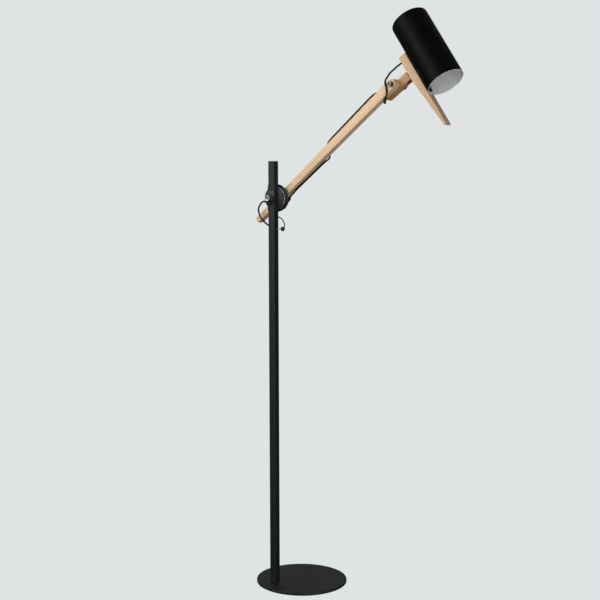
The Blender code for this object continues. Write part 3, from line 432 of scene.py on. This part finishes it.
# The CAD nodes that show as they are, with the finish of each.
KEPT = {
    "base_pad": RUBBER,
    "foot_insert": ZINC,
    "foot_bolt": ZINC,
    "stop_pin": ZINC,
    "pivot_bolt": ZINC,
    "barrel_nut": DARK_ZINC_PAINTED_REFLECTION,
    "swivel_bolt": ZINC,
    "lever_bush": BRASS,
    "shade_pad": RUBBER,
    "shade_screw_lower": ZINC,
    "shade_screw_upper": ZINC,
    "holder_bracket": ZINC,
    "nipple": BRASS,
    "nipple_nut": BRASS,
    "bulb_cap": ZINC,
    "flex_riser": SHEATH,
    "elbow_bolt": DARK_ZINC_PAINTED_REFLECTION,
}


# ---------------------------------------------------------------- shapes, in millimetres


def filleted(corners: Profile, closed: bool = False, steps: int = 5) -> list[tuple[float, float]]:
    """Rounds a profile's corners.

    Args:
        corners: (x, y) or (x, y, fillet) for each corner.
        closed: Whether the last corner joins the first.
        steps: Segments in each rounded corner.

    Returns:
        The profile's points.
    """
    points: list[tuple[float, float]] = []
    count = len(corners)
    for index, corner in enumerate(corners):
        here = Vector(corner[:2])
        size = corner[2] if len(corner) > 2 else 0.0
        if not size or (not closed and index in (0, count - 1)):
            points.append(tuple(here))
            continue
        before = Vector(corners[index - 1][:2]) - here
        after = Vector(corners[(index + 1) % count][:2]) - here
        back = here + before.normalized() * min(size, before.length * 0.49)
        on = here + after.normalized() * min(size, after.length * 0.49)
        for step in range(steps + 1):
            t = step / steps
            points.append(tuple(back * (1 - t) ** 2 + here * 2 * t * (1 - t) + on * t**2))
    return points


def spun(profile: Profile, steps: int = 96, closed: bool = False) -> bmesh.types.BMesh:
    """Turns a profile about Z.

    Args:
        profile: (radius, height) or (radius, height, fillet) for each corner.
        steps: Segments round the shape.
        closed: Whether the last corner joins the first, as in a ring.

    Returns:
        The shape.
    """
    shape = bmesh.new()
    verts = [shape.verts.new((radius, 0.0, height)) for radius, height in filleted(profile, closed)]
    ends = verts[1:] + verts[:1] if closed else verts[1:]
    edges = [shape.edges.new(pair) for pair in zip(verts, ends)]
    bmesh.ops.spin(
        shape,
        geom=verts + edges,
        cent=(0, 0, 0),
        axis=(0, 0, 1),
        dvec=(0, 0, 0),
        angle=math.tau,
        steps=steps,
        use_merge=True,
    )
    bmesh.ops.remove_doubles(shape, verts=shape.verts, dist=0.0001)
    return shape


def prism(outline: Profile, low: float, high: float, upright: bool = True) -> bmesh.types.BMesh:
    """Extrudes an outline.

    Args:
        outline: Its points: (x, z) if upright, or else (x, y).
        low: Where the extrusion starts.
        high: Where it ends.
        upright: Whether it runs along Y, and not along Z.

    Returns:
        The shape.
    """
    shape = bmesh.new()
    verts = [shape.verts.new((x, low, y) if upright else (x, y, low)) for x, y in outline]
    face = shape.faces.new(verts)
    moved = bmesh.ops.extrude_face_region(shape, geom=[face])
    risen = [v for v in moved["geom"] if isinstance(v, bmesh.types.BMVert)]
    offset = (0.0, high - low, 0.0) if upright else (0.0, 0.0, high - low)
    bmesh.ops.translate(shape, vec=offset, verts=risen)
    bmesh.ops.recalc_face_normals(shape, faces=shape.faces)
    return shape


def softened(
    shape: bmesh.types.BMesh, width: float, segments: int = 3, angle: float = 40, shortest: float = 0.0
) -> bmesh.types.BMesh:
    """Rounds a shape's outward edges.

    Args:
        shape: The shape, changed in place.
        width: The rounding's width.
        segments: Segments across the rounding.
        angle: The least turn, in degrees, of an edge that is rounded.
        shortest: The length of the shortest edge that is rounded.

    Returns:
        The same shape.
    """
    least = math.radians(angle)
    outward = [e for e in shape.edges if e.is_manifold and e.is_convex]
    picked = [e for e in outward if e.calc_face_angle() > least and e.calc_length() >= shortest]
    bmesh.ops.bevel(
        shape,
        geom=picked,
        offset=width,
        segments=segments,
        profile=0.5,
        affect="EDGES",
        material=-1,
        clamp_overlap=False,
    )
    return shape


def refined(node: str, place: Matrix) -> bmesh.types.BMesh:
    """Copies a CAD node's own shape and merges it, so that its edges can be rounded.

    Args:
        node: The CAD node's name.
        place: The frame whose millimetres the copy is in.

    Returns:
        The shape.
    """
    shape = bmesh.new()
    shape.from_mesh(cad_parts[node].data)
    shape.transform((place @ Matrix.Scale(MM, 4)).inverted())
    bmesh.ops.remove_doubles(shape, verts=shape.verts, dist=0.01)
    bmesh.ops.dissolve_limit(shape, angle_limit=math.radians(1), verts=shape.verts, edges=shape.edges)
    return shape


def rippled(
    shape: bmesh.types.BMesh, lobes: int, depth: float, low: float, high: float, least: float
) -> bmesh.types.BMesh:
    """Presses a grip into a turned shape.

    Args:
        shape: The shape, turned about Z.
        lobes: How many ridges go round it.
        depth: How deep the grooves are.
        low: Where the grip starts.
        high: Where it ends.
        least: The radius inside which nothing moves.

    Returns:
        The same shape.
    """
    for vert in shape.verts:
        radius = vert.co.xy.length
        if radius > least and low <= vert.co.z <= high:
            groove = depth * (0.5 - 0.5 * math.cos(lobes * math.atan2(vert.co.y, vert.co.x)))
            vert.co.xy *= (radius - groove) / radius
    return shape


def smooth_route(route: Route, spacing: float) -> list[Vector]:
    """Draws a Catmull-Rom curve through a route.

    Args:
        route: The points that the curve goes through, in millimetres.
        spacing: About how far apart its samples are.

    Returns:
        The samples.
    """
    own = [Vector(p) for p in route]
    own = [2 * own[0] - own[1], *own, 2 * own[-1] - own[-2]]
    samples = [own[1]]
    for a, b, c, d in zip(own, own[1:], own[2:], own[3:]):
        steps = max(1, round((c - b).length / spacing))
        for step in range(1, steps + 1):
            t = step / steps
            near = 2 * b + (c - a) * t
            far = (2 * a - 5 * b + 4 * c - d) * t**2 + (3 * b - a - 3 * c + d) * t**3
            samples.append((near + far) / 2)
    return samples


def square(half: float, corner: float) -> list[tuple[float, float]]:
    """The outline of a square with round corners."""
    corners = [(half, half, corner), (-half, half, corner), (-half, -half, corner), (half, -half, corner)]
    return filleted(corners, closed=True, steps=8)


# ---------------------------------------------------------------- pieces


def shown(
    name: str,
    shape: bmesh.types.BMesh,
    place: Matrix,
    body: str,
    finish: Finish,
    nodes: Iterable[str],
    sharp: float = 35,
) -> bpy.types.Object:
    """Makes a finished piece from a shape.

    Args:
        name: The piece's name.
        shape: The shape in millimetres, which is freed.
        place: The frame it is drawn in.
        body: The CAD body it rides on.
        finish: Its finish.
        nodes: The CAD nodes it stands for.
        sharp: The least turn, in degrees, of an edge that is left sharp.

    Returns:
        The piece.
    """
    bmesh.ops.recalc_face_normals(shape, faces=shape.faces)
    shape.transform(place @ Matrix.Scale(MM, 4))
    mesh = bpy.data.meshes.new(name)
    shape.to_mesh(mesh)
    shape.free()
    mesh.shade_smooth()
    mesh.set_sharp_from_angle(angle=math.radians(sharp))
    mesh.materials.append(finish.material())
    piece = bpy.data.objects.new(name, mesh)
    bpy.context.scene.collection.objects.link(piece)
    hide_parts(*nodes)
    if body:
        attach(piece, body)
    LOG.info("%s: %d faces, stands for %s", name, len(mesh.polygons), ", ".join(nodes))
    return piece


@dataclass
class Ring:
    """A washer, spacer or bush with slightly rounded edges."""

    name: str
    outer: float
    inner: float
    start: float
    end: float
    edge: float
    place: Matrix
    body: str
    finish: Finish
    slot: str
    node: str

    def build(self) -> bpy.types.Object:
        """Turns the ring."""
        profile = [
            (self.outer, self.end, self.edge),
            (self.outer, self.start, self.edge),
            (self.inner, self.start, self.edge / 2),
            (self.inner, self.end, self.edge / 2),
        ]
        shape = spun(profile, 96, closed=True)
        return shown(self.name, shape, self.place, self.body, self.finish, [self.node])


@dataclass
class HandKnob:
    """A round hand nut with a scalloped grip, a domed end and an open bore."""

    name: str
    start: float
    place: Matrix
    body: str
    radius: float = 15.0
    length: float = 15.5
    bore: float = 4.3
    bore_depth: float = 11.0
    lobes: int = 16
    groove: float = 1.1

    def build(self) -> bpy.types.Object:
        """Turns the knob and presses its grip."""
        top = self.start + self.length
        profile = [
            (0.0, top),
            (self.radius * 0.55, top, 4.0),
            (self.radius, top - 0.8, 2.6),
            (self.radius, top - 5.0),
            (self.radius, self.start + 4.0),
            (self.radius, self.start, 1.2),
            (self.bore, self.start, 0.6),
            (self.bore, self.start + self.bore_depth),
            (0.0, self.start + self.bore_depth),
        ]
        shape = spun(profile, self.lobes * 10)
        rippled(shape, self.lobes, self.groove, self.start, top, self.radius * 0.8)
        name = self.name + "_grip"
        return shown(name, shape, self.place, self.body, KNOB_PLASTIC, [self.name])


@dataclass
class Base:
    """The heavy round base."""

    radius: float = 140.0
    top: float = 9.5
    bottom: float = 1.5
    edge: float = 2.0

    def build(self) -> None:
        """Turns the disc."""
        profile = [
            (0.0, self.top),
            (self.radius * 0.7, self.top),
            (self.radius, self.top, self.edge),
            (self.radius, self.bottom, 0.6),
            (0.0, self.bottom),
        ]
        shown("base_plate", spun(profile, 240), GROUND, "stand", POWDER_COAT, ["base_disc"])


@dataclass
class Post:
    """The square post, its cap and the bushes that the flex goes through."""

    half: float = 11.0
    corner: float = 1.6
    bottom: float = 9.8
    top: float = 1304.7
    cap_top: float = 1307.0
    grommet: float = 1113.0
    gland: float = 57.1
    bush_neck: float = 4.0
    bush_flange: float = 5.5
    bush_bore: float = 2.95

    def build(self) -> None:
        """Builds the tube, the cap and both bushes."""
        tube = prism(square(self.half, self.corner), self.bottom, self.top, upright=False)
        shown("post_tube", tube, STAND, "stand", POWDER_COAT, ["post"])
        cap = prism(square(self.half, self.corner), self.top + 0.2, self.cap_top, upright=False)
        softened(cap, 0.6)
        shown("post_top", cap, STAND, "stand", KNOB_PLASTIC, ["post_cap"])
        left = shifted(STAND, z=self.grommet) @ Axis.LEFT.value
        rear = shifted(STAND, z=self.gland) @ Axis.Y.value
        shown("cable_bush", self.bush(), left, "stand", RUBBER, ["cable_grommet"])
        shown("outlet_bush", self.bush(), rear, "stand", RUBBER, ["outlet_gland"])
        eye = spun([(0.0, 13.9), (3.6, 13.9, 1.2), (3.6, 11.3), (0.0, 11.3)], 48)
        place = shifted(STAND, 3.5, 0.0, 1138.0) @ Axis.Y.value
        shown("tether_stud", eye, place, "stand", ZINC, ["tether_eyelet"])

    def bush(self) -> bmesh.types.BMesh:
        """A flanged bush on a wall whose outer face is half the post's width from the axis."""
        top = self.half + 2.5
        profile = [
            (self.bush_flange, top, 0.9),
            (self.bush_flange, self.half + 0.3),
            (self.bush_neck, self.half + 0.3),
            (self.bush_neck, self.half - 2.5),
            (self.bush_bore, self.half - 2.5),
            (self.bush_bore, top, 0.4),
        ]
        return spun(profile, 64, closed=True)


@dataclass
class StopPin:
    """The ball on the pin that stops the clamp from sliding down."""

    height: float = 1104.0
    reach: float = 34.9
    radius: float = 6.75

    def build(self) -> None:
        """Builds the ball."""
        ball = bmesh.new()
        bmesh.ops.create_uvsphere(ball, u_segments=64, v_segments=32, radius=self.radius)
        place = shifted(STAND, self.reach, 0.0, self.height)
        shown("pin_bead", ball, place, "stop_pin", KNOB_PLASTIC, ["pin_ball"])


@dataclass
class Clamp:
    """The sleeve on the post with the hub behind it: cap, bright ring, flange and spacer."""

    edge: float = 0.5
    flange: float = 41.5
    flange_start: float = 18.3
    flange_end: float = 20.3
    spacer: float = 11.0
    spacer_end: float = 28.4
    bore: float = 4.3
    knob: float = 9.75
    knob_start: float = -17.1
    knob_end: float = -31.0
    ridges: int = 32

    def build(self) -> None:
        """Builds every piece of the clamp."""
        body = softened(refined("clamp_body", CLAMP), self.edge, 2, 60, 2.6)
        shown("clamp_sleeve", body, CLAMP, "clamp", CLAMP_BLACK, ["clamp_body"])
        band = softened(refined("hub_ring", CLAMP), 0.4, 2, 60, 2.6)
        shown("hub_band", band, CLAMP, "clamp", HUB_METAL, ["hub_ring"])
        along = CLAMP @ Axis.Y.value
        Ring(
            "hub_plate", self.flange, self.bore, self.flange_start, self.flange_end, 0.7,
            along, "clamp", CLAMP_BLACK, "clamp_black", "hub_flange",
        ).build()
        Ring(
            "hub_spacer", self.spacer, self.bore, self.flange_end + 0.3, self.spacer_end, 0.8,
            along, "clamp", HUB_METAL, "polished_aluminium", "pivot_spacer",
        ).build()
        self.thumb_screw()

    def thumb_screw(self) -> None:
        """The chrome thumb screw: a shank, a shoulder, a ridged grip and a dished end."""
        profile = [
            (0.0, -11.3),
            (3.0, -11.3, 0.4),
            (3.0, self.knob_start),
            (self.knob * 0.72, self.knob_start, 0.5),
            (self.knob * 0.72, self.knob_start - 1.6),
            (self.knob, self.knob_start - 1.6, 0.9),
            (self.knob, self.knob_start - 3.0),
            (self.knob, self.knob_end + 2.4),
            (self.knob, self.knob_end, 1.5),
            (self.knob * 0.62, self.knob_end, 0.8),
            (self.knob * 0.5, self.knob_end + 1.0, 0.8),
            (0.0, self.knob_end + 1.0),
        ]
        shape = spun(profile, self.ridges * 8)
        rippled(shape, self.ridges, 0.5, self.knob_end + 1.2, self.knob_start - 2.2, self.knob * 0.9)
        along = CLAMP @ Axis.Y.value
        shown("thumb_screw", shape, along, "clamp_knob", CHROME, ["clamp_knob"])


@dataclass
class Arm:
    """The tapered wooden arm, round about the elbow bolt, with the hardware of its two ends."""

    tail: float = 111.0
    reach: float = 511.3
    near: float = 28.7
    far: float = 54.0
    half_at_pivot: float = 9.3
    half_at_elbow: float = 13.7
    washer: float = 11.0
    bore: float = 4.3
    edge: float = 1.0

    def half(self, along: float) -> float:
        """Half the arm's height at a distance from the pivot."""
        return self.half_at_pivot + (self.half_at_elbow - self.half_at_pivot) * along / self.reach

    def build(self) -> None:
        """Builds the bar, the washers and both hand nuts."""
        tail = self.half(-self.tail)
        outline = [(-self.tail, tail), (-self.tail, -tail)]
        round_end = self.half_at_elbow
        for step in range(37):
            turn = math.radians(-90 + 5 * step)
            outline.append((self.reach + round_end * math.cos(turn), round_end * math.sin(turn)))
        bar = softened(prism(outline, self.near, self.far), self.edge)
        shown("arm_bar", bar, ARM, "arm", ARM_WOOD, ["arm"])
        pivot = ARM @ Axis.Y.value
        elbow = shifted(ARM, self.reach) @ Axis.Y.value
        for name, start, thickness, place, node in (
            ("pivot_disc", self.far + 0.3, 1.6, pivot, "pivot_washer"),
            ("elbow_disc", self.near - 1.9, 1.6, elbow, "elbow_washer"),
        ):
            Ring(
                name, self.washer, self.bore, start, start + thickness, 0.4,
                place, "arm", DARK_ZINC_PAINTED_REFLECTION, "zinc_steel", node,
            ).build()
        Ring(
            "elbow_gasket", self.washer, self.bore, self.far + 0.3, self.far + 1.0, 0.15,
            elbow, "arm", RUBBER, "rubber", "elbow_shim",
        ).build()
        HandKnob("pivot_knob", self.far + 2.2, CLAMP @ Axis.Y.value, "pivot_knob").build()
        HandKnob("elbow_knob", 83.0, elbow, "elbow_knob").build()


@dataclass
class Link:
    """The wooden link behind the arm, with the washer that it swivels on."""

    edge: float = 1.2
    length: float = 45.5
    washer: float = 11.0
    washer_thickness: float = 0.8
    bore: float = 3.3

    def build(self) -> None:
        """Builds the link and its washer."""
        bar = softened(refined("link", LINK), self.edge, 3, 60, 12.0)
        shown("link_bar", bar, LINK, "link", LINK_WOOD_PAINTED_SHADE, ["link"])
        axis = SWIVEL @ Axis.X.value
        start = self.length + 0.3
        Ring(
            "swivel_disc", self.washer, self.bore, start, start + self.washer_thickness, 0.2,
            axis, "link", ZINC, "zinc_steel", "link_washer",
        ).build()


@dataclass
class Lever:
    """The wooden lever that carries the shade and tapers to a handle."""

    edge: float = 1.0

    def build(self) -> None:
        """Builds the lever."""
        bar = softened(refined("lever", HEAD), self.edge, 3, 40, 6.0)
        shown("lever_bar", bar, HEAD, "head", LEVER_WOOD, ["lever"])


@dataclass
class Shade:
    """The drum shade with its pale lining, and the holder and lamp inside it."""

    axis: float = 126.6
    radius: float = 54.2
    wall: float = 1.0
    corner: float = 7.0
    mouth: float = -90.8
    top: float = 136.5
    holder: float = 19.0
    holder_top: float = 111.7
    holder_bottom: float = 61.7
    collar: float = 22.0
    collar_height: float = 7.0
    bulb: float = 29.0
    bulb_bottom: float = -6.9

    def build(self) -> None:
        """Builds the drum, the holder, its ring and the lamp."""
        place = shifted(HEAD, self.axis)
        inside = self.radius - self.wall
        profile = [
            (0.0, self.top),
            (self.radius, self.top, self.corner),
            (self.radius, self.mouth, 0.35),
            (inside, self.mouth, 0.35),
            (inside, self.top - self.wall, self.corner - self.wall),
            (0.0, self.top - self.wall),
        ]
        drum = spun(profile, 192)
        drum.normal_update()
        middle = Vector((0.0, 0.0, 0.5 * (self.mouth + self.top)))
        for face in drum.faces:
            centre = face.calc_center_median()
            faces_in = face.normal.dot(centre - middle) < 0
            on_rim = centre.z < self.mouth + 0.2 * self.wall
            face.material_index = 1 if faces_in or on_rim else 0
        shade = shown("shade_drum", drum, place, "head", SHADE_PAINT, ["shade", "shade_top"])
        shade.data.materials.append(SHADE_LINING.material())
        self.lamp_holder(place)
        self.lamp(place)

    def lamp_holder(self, place: Matrix) -> None:
        """The moulded holder and the ring on its skirt."""
        profile = [
            (5.3, self.holder_top),
            (self.holder, self.holder_top, 4.0),
            (self.holder, self.holder_bottom + 20.0),
            (self.holder, self.holder_bottom, 0.6),
            (self.holder - 2.2, self.holder_bottom, 0.6),
            (self.holder - 2.2, self.holder_top - 8.0, 1.0),
            (5.3, self.holder_top - 8.0),
        ]
        body = spun(profile, 96, closed=True)
        shown("holder_body", body, place, "head", HOLDER_PLASTIC, ["lamp_holder"])
        low = self.holder_bottom + 1.0
        high = low + self.collar_height
        outer, inner = self.collar, self.holder + 0.3
        profile = [(outer, high, 0.8), (outer, low, 0.8), (inner, low), (inner, high)]
        band = spun(profile, 160, closed=True)
        rippled(band, 20, 0.5, low, high, outer - 1.5)
        shown("holder_collar", band, place, "head", HOLDER_PLASTIC, ["holder_ring"])

    def lamp(self, place: Matrix) -> None:
        """The frosted globe with its neck."""
        centre = self.bulb_bottom + self.bulb
        profile: list[tuple[float, ...]] = [(0.0, 77.1), (13.4, 77.1, 0.8), (15.2, 59.7, 6.0)]
        for step in range(32):
            turn = math.radians(44 - 4 * step)
            profile.append((self.bulb * math.cos(turn), centre + self.bulb * math.sin(turn)))
        profile.append((0.0, self.bulb_bottom))
        shown("bulb_globe", spun(profile, 96), place, "head", OPAL, ["led_bulb"], sharp=60)


# ---------------------------------------------------------------- cords


@dataclass
class Cord:
    """A round cord along a smooth route, which rides on one body, or on no body where it runs between two.

    Attributes:
        name: The CAD node that it stands for.
        place: The frame that its route is drawn in.
        route: The route's points, in millimetres.
        bodies: One body, or the body at the route's start and the one at its end.
        declared: Whether it is long enough to count as a free cord. Not used.
        radius: The cord's radius.
        reach: How far each end goes on to meet the next run.
    """

    name: str
    place: Matrix
    route: Route
    bodies: tuple[str, ...]
    declared: bool = True
    radius: float = 2.6
    reach: tuple[float, float] = (0.9, 0.9)
    finish: Finish = SHEATH
    slot: str = "flex_sheath"

    def line(self) -> list[Vector]:
        """The centreline in the row frame, in metres."""
        points = smooth_route(self.route, 0.8 * self.radius)
        points[0] += (points[0] - points[1]).normalized() * self.reach[0]
        points[-1] += (points[-1] - points[-2]).normalized() * self.reach[1]
        return [self.place @ (p * MM) for p in points]

    def build(self) -> None:
        line = self.line()
        curve = bpy.data.curves.new(self.name + "_line", "CURVE")
        curve.dimensions = "3D"
        curve.bevel_depth = self.radius * MM
        curve.bevel_resolution = 8
        curve.use_fill_caps = True
        spline = curve.splines.new("POLY")
        spline.points.add(len(line) - 1)
        for point, at in zip(spline.points, line):
            point.co = (*at, 1.0)
        drawn = bpy.data.objects.new(self.name + "_line", curve)
        bpy.context.scene.collection.objects.link(drawn)
        graph = bpy.context.evaluated_depsgraph_get()
        shape = bmesh.new()
        swept = bpy.data.meshes.new_from_object(drawn.evaluated_get(graph))
        shape.from_mesh(swept)
        shape.transform(Matrix.Scale(1 / MM, 4))
        bmesh.ops.remove_doubles(shape, verts=shape.verts, dist=0.001)
        bpy.data.objects.remove(drawn)
        bpy.data.meshes.remove(swept)
        bpy.data.curves.remove(curve)
        body = self.bodies[0] if len(self.bodies) == 1 else ""
        piece = shown(self.name + "_run", shape, GROUND, body, self.finish, [self.name])
        if not body:
            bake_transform(piece)


CORDS = [
    Cord(
        "flex_inner",
        HEAD,
        [
            (49.0, 0.0, 49.5), (64.0, 0.0, 49.5), (78.0, 0.0, 50.0), (86.5, 0.0, 55.0), (89.6, 1.0, 68.0),
            (88.5, 7.0, 86.0), (88.5, 13.0, 104.0), (94.0, 15.0, 118.0), (104.0, 12.0, 127.0),
            (116.0, 5.0, 130.5), (124.6, 0.8, 127.5), (126.8, 0.0, 123.2),
        ],
        ("head",),
        declared=False,
        reach=(0.9, 0.0),
    ),
    Cord(
        "flex_head",
        LINK,
        [(48.2, 74.6, 43.7), (41.8, 73.8, 43.9), (35.0, 70.6, 43.6), (27.0, 65.9, 42.0)],
        ("head", "link"),
        declared=False,
    ),
    Cord(
        "flex_elbow",
        ARM,
        [
            (539.2, 64.9, 40.3), (531.9, 58.4, 38.1), (526.3, 52.0, 35.6), (520.7, 46.0, 33.2),
            (513.9, 40.2, 28.9), (509.2, 35.2, 24.9), (504.6, 30.0, 20.4), (500.6, 25.9, 14.8),
            (498.2, 25.3, 9.3),
        ],
        ("link", "arm"),
    ),
    Cord(
        "flex_arm",
        ARM,
        [
            (497.6, 25.3, 8.0), (494.8, 25.3, 1.6), (490.4, 25.2, -6.6), (485.0, 25.0, -14.4),
            (478.2, 26.4, -19.4), (469.6, 32.0, -20.6), (461.0, 42.0, -19.8), (453.6, 50.5, -18.8),
            (450.6, 56.8, -16.8), (448.4, 58.8, -9.5), (447.6, 59.0, 0.0), (448.6, 58.8, 9.4),
            (450.8, 57.0, 16.6), (452.6, 50.6, 19.0),
            (450.0, 42.4, 19.2), (440.0, 34.6, 18.0), (420.0, 32.4, 17.2), (370.0, 32.0, 16.6),
            (310.0, 32.0, 15.8), (262.0, 32.2, 15.2), (241.0, 36.6, 15.2), (229.6, 46.0, 16.0),
            (221.4, 55.4, 14.6), (214.6, 59.4, 4.0), (208.6, 58.8, -7.0), (203.0, 57.2, -13.6),
            (196.0, 51.4, -15.6), (184.0, 49.6, -15.0), (140.0, 49.0, -14.2), (94.0, 48.6, -13.6),
            (70.0, 47.6, -13.5), (56.8, 46.5, -13.9),
        ],
        ("arm",),
    ),
    Cord(
        "flex_hub",
        CLAMP,
        [
            (51.6, 46.2, 24.0), (46.9, 44.4, 18.3), (43.6, 40.0, 12.6), (41.8, 33.4, 6.9), (40.2, 27.4, 0.0),
            (37.8, 24.6, -9.0), (32.4, 24.2, -19.4), (22.1, 24.2, -30.8), (0.0, 24.2, -36.8),
            (-22.0, 24.2, -29.6), (-37.0, 23.9, -18.2), (-46.0, 23.2, -12.8),
        ],
        ("arm", "clamp"),
    ),
    Cord(
        "flex_post",
        STAND,
        [
            (-47.2, 23.0, 1183.5), (-53.4, 21.8, 1184.9), (-59.4, 20.0, 1181.7), (-64.6, 16.6, 1173.4),
            (-67.1, 13.0, 1161.9), (-62.9, 10.0, 1149.4), (-54.9, 7.0, 1138.0), (-43.7, 4.4, 1128.8),
            (-29.9, 1.6, 1119.4), (-20.4, 0.2, 1114.6), (-13.2, 0.0, 1113.1),
        ],
        ("clamp", "stand"),
    ),
    Cord(
        "tether",
        STAND,
        [
            (9.2, 13.4, 1138.0), (13.6, 12.3, 1138.8), (17.2, 6.5, 1139.3), (21.0, 1.5, 1138.8),
            (30.6, 0.0, 1134.8), (36.6, 0.0, 1128.4), (41.0, 0.0, 1120.7), (42.2, 0.0, 1114.4),
            (40.4, 0.0, 1109.6),
        ],
        ("stand", "stop_pin"),
        radius=1.6,
        reach=(2.6, 0.8),
        finish=TETHER_BRAID,
        slot="tether_cord",
    ),
]


# ---------------------------------------------------------------- studio


@dataclass
class Light:
    """A soft rectangular light that faces a point."""

    name: str
    at: tuple[float, float, float]
    towards: tuple[float, float, float]
    size: tuple[float, float]
    watts: float
    colour: str = "ffffff"

    def build(self) -> None:
        """Adds the light to the scene."""
        data = bpy.data.lights.new(self.name, "AREA")
        data.shape = "RECTANGLE"
        data.size, data.size_y = self.size
        data.energy = self.watts
        data.color = linear(self.colour)[:3]
        light = bpy.data.objects.new(self.name, data)
        light.location = self.at
        facing = Vector(self.towards) - Vector(self.at)
        light.rotation_euler = facing.to_track_quat("-Z", "Y").to_euler()
        bpy.context.scene.collection.objects.link(light)


@dataclass
class Studio:
    """The camera, the lights and a plain pale sweep."""

    azimuth: float = 37.4115
    pitch: float = 5.9378
    roll: float = -0.267
    distance: float = 3.7198
    height: float = 1.2860
    lens: float = 73.8978
    sensor: float = 36.0
    shift: tuple[float, float] = (0.0437, -0.0064)
    backdrop: str = "dfe3e4"
    ambient: str = "dfe3e4"
    ambient_strength: float = 0.35
    lights: list[Light] = field(
        default_factory=lambda: [
            Light("key", (-1.4, -2.8, 2.7), (0.1, 0.0, 1.3), (2.6, 2.6), 92.0),
            Light("front", (0.9, -3.6, 1.2), (0.1, 0.0, 1.0), (2.0, 2.0), 22.0),
            Light("mouth", (2.4, -0.9, 0.2), (0.5, 0.0, 1.5), (0.8, 0.8), 22.0),
        ]
    )

    def build(self) -> None:
        """Sets up the studio."""
        self.camera()
        for light in self.lights:
            light.build()
        self.world()
        self.sweep()
        view = bpy.context.scene.view_settings
        view.view_transform = "Standard"
        view.look = "None"

    def camera(self) -> None:
        """Adds the camera at the product view's angle, for a square image."""
        turn, dip, roll = (math.radians(v) for v in (self.azimuth, self.pitch, self.roll))
        back = Vector((math.sin(turn), -math.cos(turn), 0.0))
        view = -back * math.cos(dip) - Vector((0, 0, math.sin(dip)))
        right = Vector((math.cos(turn), math.sin(turn), 0.0))
        up = right.cross(view)
        across = right * math.cos(roll) + up * math.sin(roll)
        upward = up * math.cos(roll) - right * math.sin(roll)
        data = bpy.data.cameras.new("product_view")
        data.sensor_width = self.sensor
        data.lens = self.lens
        data.shift_x, data.shift_y = self.shift
        data.clip_start, data.clip_end = 0.05, 60.0
        camera = bpy.data.objects.new("product_view", data)
        place = Matrix((across, upward, -view)).transposed().to_4x4()
        place.translation = STAND.to_translation() + back * self.distance + Vector((0, 0, self.height))
        camera.matrix_world = place
        bpy.context.scene.collection.objects.link(camera)
        bpy.context.scene.camera = camera

    def world(self) -> None:
        """Soft ambient light from above, dimmer from below."""
        world = bpy.data.worlds.new("studio")
        world.use_nodes = True
        tree = world.node_tree
        point = add_node(tree, "ShaderNodeTexCoord").outputs["Generated"]
        height = add_node(tree, "ShaderNodeSeparateXYZ", {"Vector": point}).outputs["Z"]
        values = {"Value": height, "From Min": -0.3, "From Max": 0.5}
        values.update({"To Min": 0.25 * self.ambient_strength, "To Max": self.ambient_strength})
        strength = add_node(tree, "ShaderNodeMapRange", values).outputs["Result"]
        sky = tree.nodes["Background"]
        sky.inputs["Color"].default_value = linear(self.ambient)
        tree.links.new(strength, sky.inputs["Strength"])
        bpy.context.scene.world = world

    def sweep(self) -> None:
        """The plain floor that rises into a plain backdrop."""
        shape = bmesh.new()
        bmesh.ops.create_icosphere(shape, subdivisions=5, radius=9.0)
        for vert in shape.verts:
            vert.co.z = max(vert.co.z, -0.0004)
        bmesh.ops.reverse_faces(shape, faces=shape.faces)
        mesh = bpy.data.meshes.new("sweep")
        shape.to_mesh(mesh)
        shape.free()
        floor = bpy.data.objects.new("sweep", mesh)
        bpy.context.scene.collection.objects.link(floor)
        paint = bpy.data.materials.new("sweep_paint")
        paint.use_nodes = True
        tree = paint.node_tree
        tree.nodes.clear()
        glow = add_node(tree, "ShaderNodeEmission", {"Color": linear(self.backdrop), "Strength": 1.0})
        add_node(tree, "ShaderNodeOutputMaterial", {"Surface": glow.outputs["Emission"]})
        mesh.materials.append(paint)
        floor.visible_diffuse = False
        floor.visible_glossy = False
        floor.visible_shadow = False


# ---------------------------------------------------------------- main


def dress_kept_nodes() -> None:
    """Gives each CAD node that shows as it is its procedural finish."""
    for name, finish in KEPT.items():
        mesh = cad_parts[name].data
        mesh.materials.clear()
        mesh.materials.append(finish.material())
        LOG.info("%s: CAD node, %s", name, finish.name)


def main() -> None:
    """Builds the studio, the pieces and the cords."""
    logging.basicConfig(level=logging.INFO, format="%(message)s")
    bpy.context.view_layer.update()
    Studio().build()
    for part in (Base(), Post(), StopPin(), Clamp(), Arm(), Link(), Lever(), Shade(), *CORDS):
        part.build()
    dress_kept_nodes()


if __name__ == "__main__":
    main()
